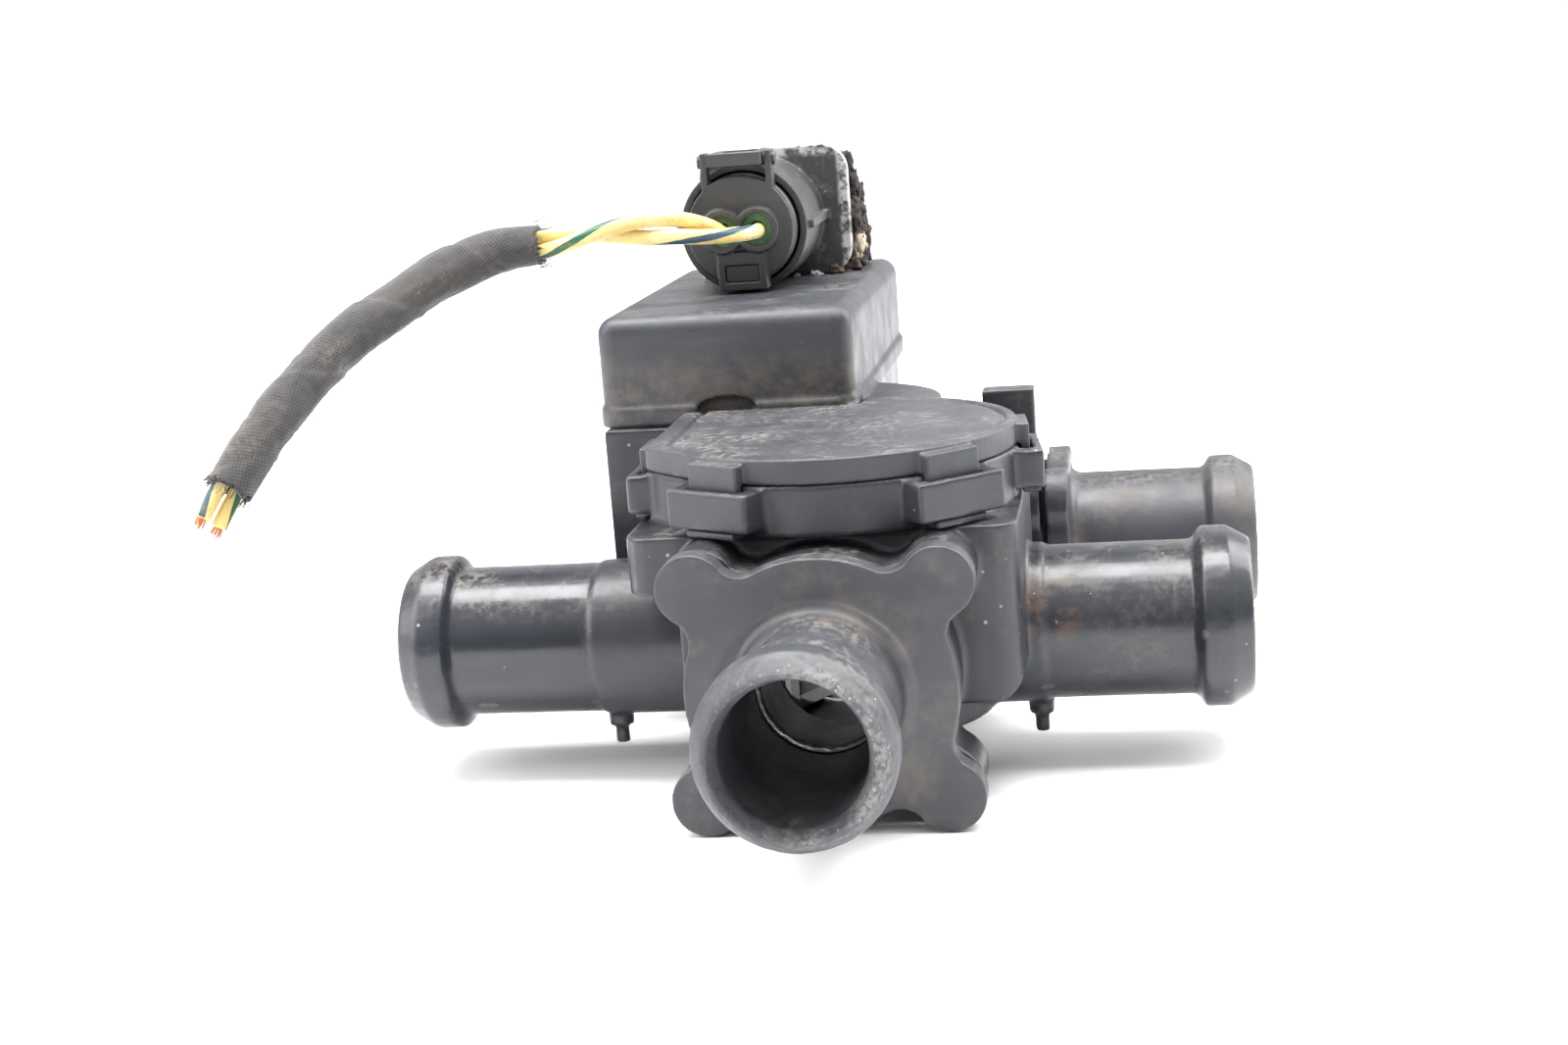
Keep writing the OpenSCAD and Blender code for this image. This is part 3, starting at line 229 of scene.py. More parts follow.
def port_marks(s, colour, rough):
    # scoured, speckled face of the open end
    end = s.math("SUBTRACT", 1.0, s.along("Y", -53.2, -50.6))
    side = s.node("ShaderNodeSeparateXYZ", {0: s.coords}).outputs[0]
    lean = s.ramp(side, -0.010, 0.006, 0.2, 1.0)
    sand = s.ramp(s.noise(1500, 5, 0.75), 0.40, 0.58)
    blot = s.ramp(s.noise(170, 4, 0.7), 0.36, 0.6)
    mask = s.math("MULTIPLY", s.math("MULTIPLY", end, lean), s.math("MULTIPLY", sand, blot))
    colour = s.mix(s.math("MULTIPLY", mask, 0.62), colour, (0.19, 0.178, 0.165))
    chalk = s.math("MULTIPLY", s.math("MULTIPLY", end, s.ramp(s.cells(900), 0.2, 0.08)), lean)
    colour = s.mix(s.math("MULTIPLY", chalk, 0.4), colour, (0.36, 0.35, 0.335))
    rough = s.math("ADD", rough, s.math("MULTIPLY", end, 0.22), True)
    # brown film round the root
    root = s.math("MULTIPLY", s.along("Y", -38, -30), s.ramp(s.noise(120, 4, 0.7), 0.45, 0.7))
    colour = s.mix(s.math("MULTIPLY", root, 0.35), colour, (0.15, 0.115, 0.085))
    return colour, rough


def cover_marks(s, colour, rough):
    low = s.math("MULTIPLY", s.math("SUBTRACT", 1.0, s.along("Y", 18.5, 22)),
                 s.math("SUBTRACT", 1.0, s.along("Z", 29, 35)))
    soil = s.math("MULTIPLY", low, s.ramp(s.noise(420, 6, 0.75), 0.40, 0.62))
    colour = s.mix(s.math("MULTIPLY", soil, 0.32), colour, (0.17, 0.135, 0.10))
    wash = s.math("MULTIPLY", low, s.ramp(s.noise(90, 3), 0.4, 0.7))
    colour = s.mix(s.math("MULTIPLY", wash, 0.3), colour, (0.12, 0.10, 0.08))
    # weathered, pitted tower behind the socket
    tower = s.math("MULTIPLY", s.along("Y", 61.0, 63.0), s.along("Z", 38.3, 39.5))
    rot = s.math("MULTIPLY", tower, s.ramp(s.noise(300, 6, 0.8), 0.42, 0.6))
    colour = s.mix(s.math("MULTIPLY", rot, 0.8), colour, (0.115, 0.06, 0.035))
    pale = s.math("MULTIPLY", tower, s.ramp(s.noise(620, 5, 0.8), 0.60, 0.68))
    colour = s.mix(pale, colour, (0.52, 0.48, 0.43))
    rough = s.math("ADD", rough, s.math("MULTIPLY", tower, 0.3), True)
    return colour, rough


def socket_marks(s, colour, rough):
    rim = s.math("MULTIPLY", s.ramp(s.point(), 0.52, 0.60), s.ramp(s.noise(240, 4, 0.7), 0.36, 0.55))
    plate = s.along("Y", 59, 60)
    colour = s.mix(s.math("MULTIPLY", s.math("MULTIPLY", rim, plate), 0.9), colour, (0.62, 0.62, 0.61))
    # chalky, thickened rim along the plate's top and right edges
    border = s.math("ADD", s.along("Z", 55.6, 56.6), s.along("X", -5.8, -4.9), True)
    chalk = s.math("MULTIPLY", s.math("MULTIPLY", border, plate), s.ramp(s.noise(330, 5, 0.75), 0.40, 0.55))
    colour = s.mix(s.math("MULTIPLY", chalk, 0.9), colour, (0.50, 0.49, 0.475))
    bloom = s.math("MULTIPLY", plate, s.ramp(s.noise(200, 5, 0.7), 0.5, 0.72))
    colour = s.mix(s.math("MULTIPLY", bloom, 0.35), colour, (0.30, 0.30, 0.30))
    return colour, rough


def simple_plastic(name, base, gloss=0.45):
    s = Shader(name)
    a = s.noise(120, 3)
    colour = s.mix(s.ramp(a, 0.3, 0.7), base, tuple(min(1, c * 1.18) for c in base))
    grime = s.ramp(s.noise(420, 4, 0.7), 0.58, 0.72, 0, 0.4)
    colour = s.mix(grime, colour, tuple(c * 0.45 for c in base))
    rough = s.ramp(s.noise(260, 3), 0.3, 0.7, gloss, gloss + 0.15)
    return s.done(colour, rough, s.bump(s.noise(1200, 3), 0.15, 0.00004))


def rubber(name, base=(0.012, 0.012, 0.013)):
    s = Shader(name)
    colour = s.mix(s.ramp(s.noise(300, 4), 0.35, 0.7), base, tuple(c * 2.2 for c in base))
    return s.done(colour, s.ramp(s.noise(500, 3), 0.3, 0.7, 0.55, 0.75), s.bump(s.noise(1500, 3), 0.2, 0.00005))


def metal(name, base, rough=0.3, brushed=(40, 40, 2500), tarnish=(0.2, 0.12, 0.07)):
    s = Shader(name)
    s.bsdf.inputs["Metallic"].default_value = 1.0
    lines = s.noise(1, 2, 0.5, s.scaled(s.coords, brushed))
    stain = s.ramp(s.noise(160, 4, 0.7), 0.5, 0.75, 0, 0.55)
    colour = s.mix(stain, s.mix(s.ramp(lines, 0.3, 0.7), base, tuple(c * 0.82 for c in base)), tarnish)
    r = s.ramp(lines, 0.25, 0.75, rough, rough + 0.16)
    return s.done(colour, r, s.bump(lines, 0.12, 0.00003))


def gear_plastic(name):
    s = Shader(name)
    colour = s.mix(s.ramp(s.noise(90, 3), 0.3, 0.7), (0.66, 0.63, 0.55), (0.73, 0.71, 0.65))
    grease = s.ramp(s.noise(180, 4, 0.65), 0.55, 0.68, 0, 0.5)
    colour = s.mix(grease, colour, (0.55, 0.44, 0.24))
    rough = s.math("SUBTRACT", 0.46, s.math("MULTIPLY", grease, 0.3))
    return s.done(colour, rough, s.bump(s.noise(1400, 2), 0.1, 0.00003))


def insulation(name, stripe):
    """Thin-wall wire: yellow with one printed stripe that winds with the wire, and some grime."""
    s = Shader(name, ior=1.5)
    uv = s.uv()
    sep = s.node("ShaderNodeSeparateXYZ", {0: uv})
    u = sep.outputs[0]
    off = s.math("ABSOLUTE", s.math("SUBTRACT", u, 0.5))
    ragged = s.math("MULTIPLY", s.math("SUBTRACT", s.noise(900, 2), 0.5), 0.03)
    band = s.ramp(s.math("ADD", off, ragged), 0.085, 0.065)
    yellow = s.mix(s.ramp(s.noise(170, 3), 0.3, 0.7), (0.70, 0.52, 0.17), (0.78, 0.64, 0.29))
    colour = s.mix(band, yellow, stripe)
    soil = s.ramp(s.noise(330, 5, 0.7), 0.5, 0.72, 0, 0.55)
    colour = s.mix(soil, colour, (0.26, 0.20, 0.11))
    rough = s.ramp(s.noise(500, 3), 0.3, 0.7, 0.32, 0.5)
    return s.done(colour, rough, s.bump(s.noise(1100, 3), 0.18, 0.00005))


def cloth_tape(name):
    """Woven tape: over-and-under threads in the tube's own directions, painted shade between the threads, fuzz, dust
    and a paint mark.
    """
    s = Shader(name)
    uv = s.uv()
    # threads run aslant, because the tape is wound on
    turned = s.node("ShaderNodeMapping", {"Vector": uv, "Rotation": (0, 0, 0.42)}).outputs[0]
    sep = s.node("ShaderNodeSeparateXYZ", {0: turned})
    x = s.math("MULTIPLY", sep.outputs[0], 2 * math.pi / 0.00062)
    y = s.math("MULTIPLY", sep.outputs[1], 2 * math.pi / 0.00062)
    wx = s.math("SINE", x)
    wy = s.math("SINE", y)
    weave = s.math("MULTIPLY", wx, wy)
    threads = s.math("MAXIMUM", s.math("ABSOLUTE", wx), s.math("ABSOLUTE", wy))
    height = s.math("ADD", s.math("MULTIPLY", weave, 0.5), threads)
    # colour follows the thread height: painted shade in the hollows between threads and painted highlight on the
    # thread crests
    weave_shade = s.ramp(height, 0.2, 1.4)
    colour = s.mix(weave_shade, (0.016, 0.016, 0.018), (0.060, 0.058, 0.060))
    fade = s.ramp(s.noise(85, 4, 0.6), 0.35, 0.7)
    colour = s.mix(s.math("MULTIPLY", fade, 0.5), colour, (0.085, 0.078, 0.072))
    dust = s.math("MULTIPLY", s.ramp(s.noise(130, 5, 0.7), 0.45, 0.68), s.ramp(s.noise(1500, 4, 0.7), 0.42, 0.6))
    colour = s.mix(s.math("MULTIPLY", dust, 0.32), colour, (0.20, 0.16, 0.12))
    lint = s.ramp(s.noise(1, 2, 0.5, s.scaled(s.coords, (1800, 500, 700))), 0.74, 0.80)
    colour = s.mix(s.math("MULTIPLY", lint, 0.35), colour, (0.42, 0.38, 0.34))
    paint = s.math("MULTIPLY", s.near((-69.0, 13.6, 35.6), 3.4, 0.7), s.ramp(s.noise(800, 4, 0.8), 0.46, 0.54))
    colour = s.mix(s.math("MULTIPLY", paint, 0.85), colour, (0.62, 0.62, 0.61))
    s.bsdf.inputs["Sheen Weight"].default_value = 0.25
    s.bsdf.inputs["Sheen Roughness"].default_value = 0.5
    rough = s.ramp(s.noise(400, 3), 0.3, 0.7, 0.82, 0.95)
    normal = s.bump(height, 0.55, 0.00012)
    normal = s.bump(s.noise(500, 4, 0.6), 0.35, 0.0003, normal)
    return s.done(colour, rough, normal)


def residue(name, base):
    s = Shader(name)
    colour = s.mix(s.ramp(s.noise(700, 5, 0.7), 0.35, 0.65), base, tuple(c * 0.5 for c in base))
    return s.done(colour, s.ramp(s.noise(500, 3), 0.3, 0.7, 0.75, 0.95), s.bump(s.noise(1600, 4), 0.5, 0.00015))


M_BODY = housing_plastic("housing_plastic_body", base=(0.016, 0.0175, 0.022), extra=body_marks, gloss=0.31)
M_PORT = housing_plastic("housing_plastic_port", extra=port_marks, gloss=0.38)
M_ROTOR = housing_plastic("valve_rotor_plastic", base=(0.24, 0.24, 0.25), edges=False, dust_amount=0.2)
M_COVER = housing_plastic("housing_plastic_cover", base=(0.026, 0.028, 0.034), extra=cover_marks,
                          dust_amount=0.3, gloss=0.38)
M_LID = housing_plastic("housing_plastic_lid", dust_amount=0.5, gloss=0.42)
M_SOCKET = housing_plastic("connector_plastic", base=(0.026, 0.027, 0.029), extra=socket_marks, gloss=0.42)
M_DARK = housing_plastic("dark_plastic_inner", base=(0.022, 0.023, 0.026), edges=False, dust_amount=0.1)
M_RUBBER = rubber("black_rubber")
M_GREEN = rubber("seal_green_silicone", (0.035, 0.085, 0.035))
M_WHITE = simple_plastic("white_acetal_moulding", (0.60, 0.58, 0.52))
M_GEAR = gear_plastic("gear_acetal")
M_STEEL = metal("ground_steel", (0.55, 0.56, 0.58), 0.22)
M_CAN = metal("plated_can_steel", (0.60, 0.60, 0.58), 0.30, (1800, 1800, 60))
M_FERRITE = rubber("ferrite_magnet", (0.03, 0.03, 0.032))
M_COPPER = metal("bare_copper", (0.80, 0.37, 0.20), 0.28)
M_BRASS = metal("tin_plated_brass", (0.72, 0.58, 0.30), 0.26)
M_WIRE_G = insulation("wire_yellow_green_stripe", (0.02, 0.10, 0.05))
M_WIRE_B = insulation("wire_yellow_blue_stripe", (0.025, 0.065, 0.10))
M_TAPE = cloth_tape("woven_cloth_tape")
M_TUBE = rubber("loom_inner_tube", (0.010, 0.010, 0.011))
M_CREAM = residue("cream_residue", (0.50, 0.43, 0.32))
M_PALE = residue("pale_residue", (0.62, 0.62, 0.62))
M_BROWN = residue("brown_crumble", (0.075, 0.046, 0.035))
M_SOOT = residue("dark_crumble", (0.035, 0.030, 0.027))

NODE_LOOKS = {
    M_RUBBER: ["front_gasket", "rear_gasket", "shaft_seal", "shutter_seal", "lid_gasket", "cover_gasket",
               "plug_seal_ring"],
    M_GREEN: ["wire_seals"],
    M_WHITE: ["chamber_cap", "rotor_foot_bush"],
    M_GEAR: ["output_gear", "second_gear", "first_gear"],
    M_STEEL: ["second_gear_pin", "first_gear_pin", "motor_shaft", "armature_core"],
    M_CAN: ["motor_can"],
    M_FERRITE: ["motor_magnets"],
    M_COPPER: ["motor_brushes", "armature_windings", "commutator", "motor_leads", "copper_ends"],
    M_BRASS: ["motor_bushes", "motor_pinion", "socket_pins", "plug_terminals"],
    M_ROTOR: ["valve_rotor"],
    M_DARK: ["motor_end_cap", "plug_lock"],
    M_BODY: ["valve_body"], M_PORT: ["front_port", "rear_port"], M_LID: ["round_lid"], M_COVER: ["gear_cover"],
    M_SOCKET: ["connector_socket", "plug_housing", "plug_latch"],
    M_WIRE_G: ["green_stripe_wire"], M_WIRE_B: ["blue_stripe_wire"], M_TUBE: ["loom_tube"], M_TAPE: ["loom_tape"],
}
for looks, names in NODE_LOOKS.items():
    for n in names:
        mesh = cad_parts[n].data
        mesh.materials.clear()
        mesh.materials.append(looks)


# ---------------------------------------------------------------- mesh helpers

def add_mesh(name, verts, faces, material, smooth=True, uvs=None):
    """uvs: one (u, v) per face corner, face by face."""
    mesh = bpy.data.meshes.new(name)
    mesh.from_pydata([tuple(v) for v in verts], [], faces)
    if uvs is not None:
        layer = mesh.uv_layers.new(name="UVMap")
        layer.data.foreach_set("uv", np.asarray(uvs, np.float32).ravel())
    mesh.materials.append(material)
    for p in mesh.polygons:
        p.use_smooth = smooth
    mesh.update()
    obj = bpy.data.objects.new(name, mesh)
    scene.collection.objects.link(obj)
    return obj


def smooth_line(points, per):
    """Catmull-Rom line through points, per samples between each pair."""
    p = [Vector(q) for q in points]
    ext = [p[0] * 2 - p[1], *p, p[-1] * 2 - p[-2]]
    out = []
    for i in range(1, len(ext) - 2):
        a, b, c, d = ext[i - 1], ext[i], ext[i + 1], ext[i + 2]
        for k in range(per):
            t = k / per
            out.append(0.5 * ((2 * b) + (c - a) * t + (2 * a - 5 * b + 4 * c - d) * t * t
                              + (3 * b - a - 3 * c + d) * t ** 3))
    out.append(p[-1])
    return out


def line_frames(points):
    """(tangent, side, over) at each point, carried along without twist."""
    out = []
    side = None
    for i, p in enumerate(points):
        t = (points[min(i + 1, len(points) - 1)] - points[max(i - 1, 0)]).normalized()
        if side is None:
            side = t.cross(Vector((0, 0, 1)))
            if side.length < 1e-3:
                side = t.cross(Vector((1, 0, 0)))
        side = (side - t * side.dot(t)).normalized()
        out.append((t, side, side.cross(t).normalized() * -1))
    return out


# ---------------------------------------------------------------- cords

TAIL = [  # x, y, z, half the wires' spacing (mm), twist (degrees); the route of part.scad
    (-17.0, 42, 47.2, 2.5, 0), (-17.0, 38, 47.2, 2.5, 0), (-18.0, 34.5, 47.6, 2.0, 10),
    (-20.5, 32, 48.2, 1.6, 30), (-24.0, 31, 48.8, 1.3, 60), (-28.5, 30.5, 49.0, 1.2, 100),
    (-33.0, 30, 48.9, 1.2, 150), (-38.0, 29.5, 48.5, 1.2, 200), (-43.0, 29, 47.9, 1.2, 240),
    (-49.0, 28, 47.4, 1.2, 255), (-55.0, 26, 45.3, 1.2, 260), (-61.0, 22, 42.1, 1.2, 260),
    (-66.5, 16.5, 38.3, 1.2, 260), (-71.5, 11, 33.4, 1.2, 260), (-76.0, 5.5, 27.6, 1.2, 260),
    (-80.0, 1, 21.1, 1.2, 260), (-82.0, -1.5, 17.2, 1.3, 265)]
LOOM = (8, 15)
WIRE_R = 1.05 * MM
LOOM_R = 3.2 * MM


def wire_points(hand):
    places = [Vector(r[:3]) * MM for r in TAIL]
    out = []
    for i, row in enumerate(TAIL):
        head = (places[min(i + 1, len(TAIL) - 1)] - places[max(i - 1, 0)]).normalized()
        side = head.cross(Vector((0, 0, 1))).normalized()
        over = side.cross(head)
        a = math.radians(row[4])
        out.append(places[i] + hand * row[3] * MM * (math.cos(a) * side + math.sin(a) * over))
    return out


def striped_wire(name, hand, material, phase):
    """A wire whose stripe winds round it with the lay."""
    line = smooth_line(wire_points(hand), 10)
    sides = 20
    frames = line_frames(line)
    verts, rows, run = [], [], 0.0
    for i, (p, (t, s, o)) in enumerate(zip(line, frames)):
        if i:
            run += (p - line[i - 1]).length
        rows.append(run)
        for k in range(sides):
            a = 2 * math.pi * k / sides
            r = WIRE_R * (1 + 0.02 * noise.noise(Vector((run * 260 + hand, k * 0.3, 0))))
            verts.append(p + (s * math.cos(a) + o * math.sin(a)) * r)
    faces, uvs = [], []
    for i in range(len(line) - 1):
        for k in range(sides):
            k2 = (k + 1) % sides
            faces.append((i * sides + k, i * sides + k2, (i + 1) * sides + k2, (i + 1) * sides + k))
            base = (rows[i] * 34 + phase + k / sides) % 1.0
            step = (rows[i + 1] - rows[i]) * 34
            for dv, du in ((0, 0), (0, 1 / sides), (step, 1 / sides), (step, 0)):
                uvs.append((base + dv + du, rows[i]))
    n = len(line)
    for centre, ring, flip in ((line[0], 0, True), (line[-1], n - 1, False)):
        verts.append(centre)
        c = len(verts) - 1
        for k in range(sides):
            a, b = ring * sides + k, ring * sides + (k + 1) % sides
            faces.append((c, b, a) if flip else (c, a, b))
            uvs.extend([(0.02, 0.0)] * 3)
    obj = add_mesh(name, verts, faces, material, uvs=uvs)
    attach(obj, HOUSING)
    return obj, line


def sleeve(name, line, outer, inner, sides, material, ragged=0.0):
    """A tube with a wall: out along the outside and back along the inside, closed at both ends."""
    frames = line_frames(line)
    verts, tags = [], []
    n = len(line)
    run = [0.0]
    for i in range(1, n):
        run.append(run[-1] + (line[i] - line[i - 1]).length)
    loop = [(i, outer) for i in range(n)] + [(i, inner) for i in range(n - 1, -1, -1)]
    for i, radius in loop:
        t, s, o = frames[i]
        for k in range(sides):
            a = 2 * math.pi * k / sides
            r = radius(run[i], a) if callable(radius) else radius
            slip = 0.0
            if ragged and i in (0, n - 1):
                slip = ragged * noise.noise(Vector((math.cos(a) * 4, math.sin(a) * 4, i)))
            verts.append(line[i] + (s * math.cos(a) + o * math.sin(a)) * r + t * slip)
        tags.append(run[i])
    faces, uvs = [], []
    m = len(loop)
    girth = 2 * math.pi * LOOM_R
    for j in range(m):
        j2 = (j + 1) % m
        for k in range(sides):
            k2 = (k + 1) % sides
            faces.append((j * sides + k, j * sides + k2, j2 * sides + k2, j2 * sides + k))
            for row, col in ((j, k), (j, k + 1), (j2, k + 1), (j2, k)):
                uvs.append((col / sides * girth, tags[row]))
    obj = add_mesh(name, verts, faces, material, uvs=uvs)
    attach(obj, HOUSING)
    return obj


def tape_radius(run, angle):
    """Wound tape: each turn's edge stands on the one before, with soft wrinkles."""
    pitch = 0.0148
    widen = min(1.0, max(0.0, run / 0.010)) ** 0.7
    lap = (run / pitch - angle / (2 * math.pi)) % 1.0
    step = 0.00020 * (1 - lap) if lap > 0.06 else 0.00020 * (lap / 0.06)
    p = Vector((math.cos(angle) * 1.6, math.sin(angle) * 1.6, run * 190))
    q = Vector((math.cos(angle) * 3.5, math.sin(angle) * 3.5, run * 520 + 7))
    soft = 0.00022 * noise.noise(p) + 0.00009 * noise.noise(q)
    crease = 0.00020 * max(0.0, noise.noise(Vector((math.cos(angle) * 1.2, math.sin(angle) * 1.2, run * 900))) - 0.2)
    end_wrinkle = 0.00016 * max(0.0, noise.noise(Vector((math.cos(angle) * 2, math.sin(angle) * 2, run * 1400))))
    full = min(0.00308 + 1.3 * step + soft - crease - (end_wrinkle if run > 0.034 else 0), 0.00348)
    return 0.00262 + (full - 0.00262) * widen


def make_cords():
    green, g_line = striped_wire("green_stripe_insulation", 1, M_WIRE_G, 0.1)
    blue, b_line = striped_wire("blue_stripe_insulation", -1, M_WIRE_B, 0.55)
    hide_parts("green_stripe_wire")
    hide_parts("blue_stripe_wire")
    loom_line = smooth_line([Vector(r[:3]) * MM for r in TAIL[LOOM[0]:LOOM[1] + 1]], 22)
    tape = sleeve("loom_cloth_tape", loom_line, tape_radius, lambda run, a: (2.5 + 0.22 * min(1, run / 0.01)) * MM,
                  72, M_TAPE, ragged=0.0011)
    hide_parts("loom_tape")
    tube_line = loom_line[3:]
    liner = sleeve("loom_liner", tube_line, lambda run, a: (2.44 + 0.24 * min(1, run / 0.01)) * MM,
                   lambda run, a: (2.36 + 0.06 * min(1, run / 0.01)) * MM, 48, M_TUBE, ragged=0.0004)
    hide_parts("loom_tube")
    # frayed threads at both ends of the tape
    rng = random.Random(5)
    threads = []
    for line, count, reach in ((loom_line, 30, 1.0), (loom_line[::-1], 95, 1.0)):
        t, s, o = line_frames(line)[0]
        for _ in range(count):
            a = rng.uniform(0, 2 * math.pi)
            out = s * math.cos(a) + o * math.sin(a)
            start = line[0] + out * rng.uniform(2.75, 3.15) * MM + t * 0.4 * MM
            length = rng.uniform(0.7, 2.3) * MM * reach
            sway = out * rng.uniform(-0.3, 0.5) * MM
            bend = sway + (s * rng.uniform(-1, 1) + o * rng.uniform(-1, 1)) * 0.5 * MM
            threads.append(([start, start - t * length * 0.5 + bend * 0.4, start - t * length + bend], 0.05 * MM))
    fray = strands("loom_fray", threads, M_TAPE, 5)
    # bare copper strands at the two cut ends
    cut = []
    for line in (g_line, b_line):
        t = (line[-1] - line[-4]).normalized()
        s = t.cross(Vector((0, 0, 1))).normalized()
        o = s.cross(t)
        for k in range(19):
            r = 0.62 * MM * math.sqrt((k + 0.5) / 19)
            a = k * 2.4
            out = s * math.cos(a) + o * math.sin(a)
            start = line[-1] - t * 0.5 * MM + out * r
            tip = start + t * rng.uniform(1.5, 2.2) * MM + out * rng.uniform(0.0, 0.25) * MM
            cut.append(([start, (start + tip) / 2 + out * 0.03 * MM, tip], 0.085 * MM))
    copper = strands("cut_copper_strands", cut, M_COPPER, 6)
    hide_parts("copper_ends")


def strands(name, runs, material, sides):
    """Many thin threads in one mesh."""
    verts, faces, uvs = [], [], []
    for points, r in runs:
        line = smooth_line(points, 4)
        base = len(verts)
        n = len(line)
        for i, (p, (t, s, o)) in enumerate(zip(line, line_frames(line))):
            rr = r * (1 - 0.35 * i / (n - 1))
            for k in range(sides):
                a = 2 * math.pi * k / sides
                verts.append(p + (s * math.cos(a) + o * math.sin(a)) * rr)
        for i in range(n - 1):
            for k in range(sides):
                k2 = (k + 1) % sides
                faces.append((base + i * sides + k, base + i * sides + k2,
                              base + (i + 1) * sides + k2, base + (i + 1) * sides + k))
                uvs.extend([(0, 0), (0.0003, 0), (0.0003, 0.001), (0, 0.001)])
        faces.append(tuple(base + k for k in range(sides - 1, -1, -1)))
        faces.append(tuple(base + (n - 1) * sides + k for k in range(sides)))
        uvs.extend([(0, 0)] * (2 * sides))
    obj = add_mesh(name, verts, faces, material, uvs=uvs)
    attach(obj, HOUSING)
    return obj


make_cords()


# ---------------------------------------------------------------- moulded shells

def softened(node, name, voxel, material, steps=3, body=HOUSING, wear=None):
    """The CAD part as a dense skin with moulded, slightly rounded edges; wear(co, normal) moves points in metres."""
    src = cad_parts[node]
    obj = bpy.data.objects.new(name, src.data.copy())
    scene.collection.objects.link(obj)
    remesh = obj.modifiers.new("skin", "REMESH")
    remesh.mode = "VOXEL"
    remesh.voxel_size = voxel * MM
    relax = obj.modifiers.new("relax", "SMOOTH")
    relax.factor = 0.5
    relax.iterations = steps
    deps = bpy.context.evaluated_depsgraph_get()
    mesh = bpy.data.meshes.new_from_object(obj.evaluated_get(deps))
    obj.modifiers.clear()
    obj.data = mesh
    mesh.materials.clear()
    mesh.materials.append(material)
    if wear:
        co = np.zeros(len(mesh.vertices) * 3, np.float32)
        mesh.vertices.foreach_get("co", co)
        co = co.reshape(-1, 3)
        nor = np.array([n.vector for n in mesh.vertex_normals], np.float32)
        co = wear(co, nor)
        mesh.vertices.foreach_set("co", co.astype(np.float32).ravel())
    mesh.polygons.foreach_set("use_smooth", [True] * len(mesh.polygons))
    mesh.update()
    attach(obj, body)
    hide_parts(node)
    return obj


MOUTH_Y = -50.4 * MM      # the front port is worn in front of this
MOUTH_FADE = 1.2 * MM
TOWER_FOOT_Z = 39.6 * MM  # the tower is crumbled above this


def port_wear(co, nor):
    """Scoured open end: shallow pits and a slightly eaten rim."""
    picked = np.where(co[:, 1] < MOUTH_Y)[0]
    for i in picked:
        p = co[i]
        q = Vector((float(p[0]), float(p[1]), float(p[2])))
        fine = max(0.0, noise.noise(q * 900) - 0.05)
        broad = max(0.0, noise.noise(q * 260 + Vector((3, 1, 4))) - 0.1)
        depth = fine * 0.16 + broad * 0.25
        share = min(1.0, max(0.0, (MOUTH_Y - p[1]) / MOUTH_FADE))
        co[i] = p - nor[i] * depth * share * MM
    return co


def cover_wear(co, nor):
    """The tower behind the socket is crumbled: lumps eaten out of its sloped back and top edges."""
    picked = np.where((co[:, 1] > 62.6 * MM) & (co[:, 2] > TOWER_FOOT_Z))[0]
    for i in picked:
        p = co[i]
        q = Vector((float(p[0]), float(p[1]), float(p[2])))
        lump = noise.fractal(q * 330, 0.7, 2.1, 4)
        depth = max(0.0, 0.25 + 0.55 * lump)
        rise = min(1.0, (p[2] - TOWER_FOOT_Z) / (2 * MM))
        co[i] = p - nor[i] * depth * rise * MM
    return co


def make_shells():
    f = 1.0
    softened("valve_body", "body_moulding", 0.34 * f, M_BODY)
    softened("front_port", "front_port_moulding", 0.22 * f, M_PORT, wear=port_wear)
    softened("rear_port", "rear_port_moulding", 0.32 * f, M_PORT)
    softened("gear_cover", "gear_cover_moulding", 0.32 * f, M_COVER, wear=cover_wear)
    softened("round_lid", "round_lid_moulding", 0.22 * f, M_LID, steps=2)
    softened("connector_socket", "socket_moulding", 0.18 * f, M_SOCKET, steps=2)
    softened("plug_housing", "plug_moulding", 0.16 * f, M_SOCKET, steps=2)
    softened("plug_latch", "plug_latch_moulding", 0.10 * f, M_SOCKET, steps=2, body="latch_lever")
    softened("plug_lock", "plug_lock_moulding", 0.10 * f, M_DARK, steps=2, body="lock_slider")


make_shells()


# ---------------------------------------------------------------- stuck debris

DEBRIS = [  # x, y, z (mm), radius (mm), flatness, material
    (-25.2, 60.2, 39.0, 1.5, 0.7, M_PALE), (-23.4, 60.0, 38.7, 1.0, 0.6, M_PALE),
    (-12.4, 59.0, 38.5, 0.9, 0.6, M_PALE), (-9.6, 59.6, 38.6, 1.3, 0.6, M_PALE),
    (-6.6, 60.2, 39.0, 1.4, 0.8, M_BROWN), (-4.6, 64.0, 39.2, 1.8, 0.8, M_BROWN),
    (-4.9, 66.5, 40.4, 1.5, 0.9, M_CREAM), (-4.4, 62.6, 41.6, 1.2, 1.0, M_BROWN),
    (-4.2, 69.0, 41.0, 1.6, 0.9, M_BROWN), (-4.6, 65.2, 43.6, 1.3, 1.2, M_BROWN),
    (1.4, 23.5, 24.3, 0.9, 0.7, M_CREAM), (2.9, 24.6, 24.2, 0.7, 0.8, M_CREAM),
    (1.6, 27.5, 24.4, 1.2, 0.6, M_CREAM), (4.0, 21.6, 24.1, 0.6, 0.7, M_CREAM),
]


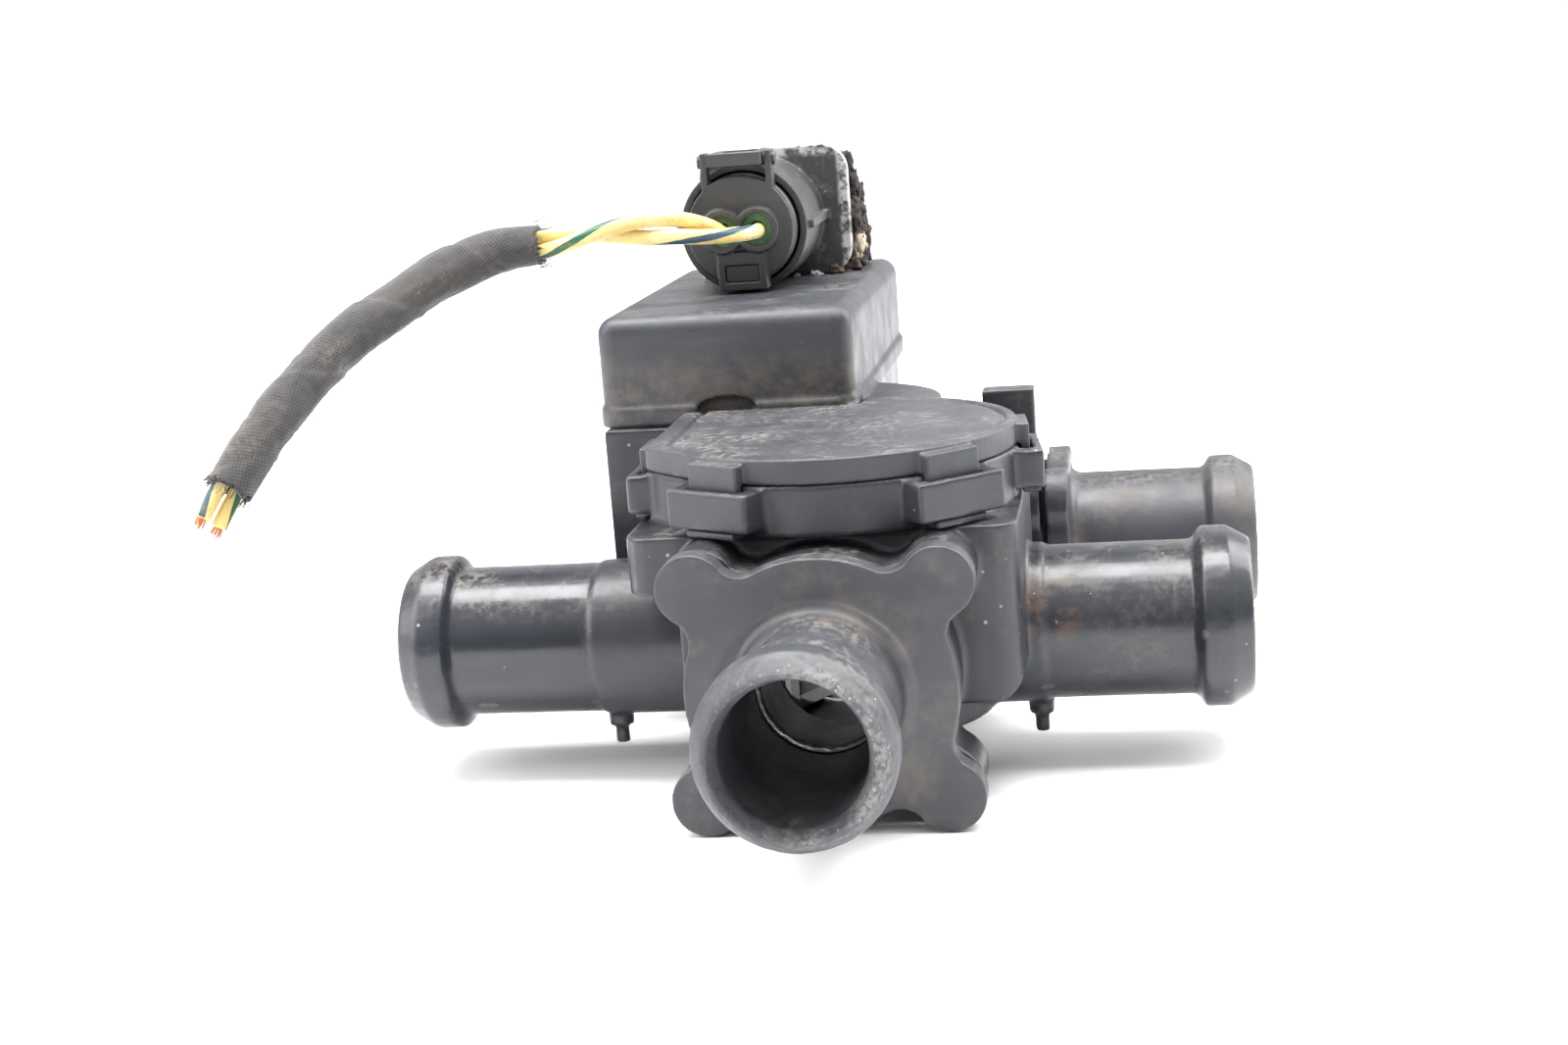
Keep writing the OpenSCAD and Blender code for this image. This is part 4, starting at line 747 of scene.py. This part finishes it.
def tower_crust():
    """Crumbled, streaky coating down the right flank of the tower behind the socket."""
    rng = random.Random(11)
    rows = []
    for _ in range(150):
        y = rng.uniform(63.0, 76.5)
        slope_top = 56.0 if y < 66 else 56.0 - (y - 66) * 1.27
        z = rng.uniform(39.2, max(40.0, slope_top - 0.8))
        foot = z < 43 and rng.random() < 0.35
        look = M_CREAM if foot else (M_BROWN if rng.random() < 0.3 else M_SOOT)
        rows.append((-5.0 + rng.uniform(0.0, 1.5), y, z, rng.uniform(0.5, 1.25), rng.uniform(0.9, 2.1), look))
    return rows


def make_debris():
    """Crumbs and dried residue that cling to the housing, one mesh per colour."""
    by_look = {}
    for i, (x, y, z, r, flat, look) in enumerate(DEBRIS + tower_crust()):
        by_look.setdefault(look.name, (look, []))[1].append((i, Vector((x, y, z)) * MM, r * MM, flat))
    for name, (look, lumps) in by_look.items():
        verts, faces = [], []
        for i, centre, r, flat in lumps:
            ball = bmesh.new()
            bmesh.ops.create_icosphere(ball, subdivisions=3, radius=1.0)
            ball.verts.ensure_lookup_table()
            base = len(verts)
            for v in ball.verts:
                n = v.co.normalized()
                rough = 0.75 + 0.45 * noise.fractal(n * 1.7 + Vector((i * 3.1, 0, 0)), 0.8, 2.1, 5)
                place = n * r * rough
                place.z *= flat
                verts.append(centre + place)
            faces += [tuple(base + v.index for v in f.verts) for f in ball.faces]
            ball.free()
        obj = add_mesh("debris_" + name, verts, faces, look)
        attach(obj, HOUSING)


make_debris()


# ---------------------------------------------------------------- floor and light

def make_stage():
    floor_z = -16.8 * MM
    verts, faces = [], []
    profile = [(-3.0, 0.0), (1.2, 0.0)]
    for k in range(1, 13):
        a = math.radians(90 * k / 12)
        profile.append((1.2 + 0.8 * math.sin(a), 0.8 * (1 - math.cos(a))))
    profile.append((2.0, 4.0))
    for x in (-5.0, 5.0):
        for y, z in profile:
            verts.append((x, y, z + floor_z))
    n = len(profile)
    for i in range(n - 1):
        faces.append((i, n + i, n + i + 1, i + 1))
    s = Shader("pale_floor", 0.6)
    colour = s.mix(s.ramp(s.noise(6, 2), 0.3, 0.7), (0.90, 0.90, 0.905), (0.925, 0.925, 0.925))
    floor = add_mesh("floor", verts, faces, s.done(colour, s.ramp(s.noise(9, 2), 0.3, 0.7, 0.6, 0.7)))


def area(name, place, target, size, power):
    data = bpy.data.lights.new(name, "AREA")
    data.shape = "RECTANGLE"
    data.size, data.size_y = size
    data.energy = power
    obj = bpy.data.objects.new(name, data)
    scene.collection.objects.link(obj)
    point_at(obj, place, target)


def point_at(obj, place, target):
    """Stands a light at place with its beam towards target, both in metres."""
    obj.location = place
    obj.rotation_mode = "QUATERNION"
    obj.rotation_quaternion = (Vector(place) - Vector(target)).to_track_quat("Z", "Y")


def make_sky():
    """Bright overhead and behind the object, dim on the side the camera looks from."""
    world = bpy.data.worlds.new("studio")
    world.use_nodes = True
    sky = world.node_tree
    coords = sky.nodes.new("ShaderNodeTexCoord").outputs["Generated"]
    lean = sky.nodes.new("ShaderNodeVectorMath")
    lean.operation = "DOT_PRODUCT"
    sky.links.new(coords, lean.inputs[0])
    lean.inputs[1].default_value = (-0.05, 0.45, 0.89)
    fade = sky.nodes.new("ShaderNodeMapRange")
    fade.interpolation_type = "SMOOTHSTEP"
    sky.links.new(lean.outputs["Value"], fade.inputs["Value"])
    for socket, value in (("From Min", -0.35), ("From Max", 0.75), ("To Min", 0.22), ("To Max", 1.75)):
        fade.inputs[socket].default_value = value
    background = sky.nodes["Background"]
    background.inputs["Color"].default_value = (1, 1, 1, 1)
    sky.links.new(fade.outputs[0], background.inputs["Strength"])
    scene.world = world


def bore_spot():
    """A narrow beam that reaches into the front port, down to the rotor."""
    lamp = bpy.data.lights.new("bore_spot", "SPOT")
    lamp.energy = 9
    lamp.spot_size = math.radians(3.4)
    lamp.spot_blend = 1.0
    lamp.shadow_soft_size = 0.01
    obj = bpy.data.objects.new("bore_spot", lamp)
    scene.collection.objects.link(obj)
    point_at(obj, (0.03, -0.45, 0.03), (0, -0.03, -0.001))


make_stage()
make_sky()
area("top_panel", (0.0, 0.0, 0.70), (0, 0.01, 0.0), (0.9, 0.30), 13)
area("left_panel", (-0.8, -0.25, 0.45), (0, 0, 0.0), (0.7, 0.7), 7)
area("right_back_panel", (0.7, 0.45, 0.45), (0, 0.02, 0.02), (0.5, 0.8), 9)
bore_spot()
scene.view_settings.view_transform = "Standard"
scene.view_settings.look = "None"
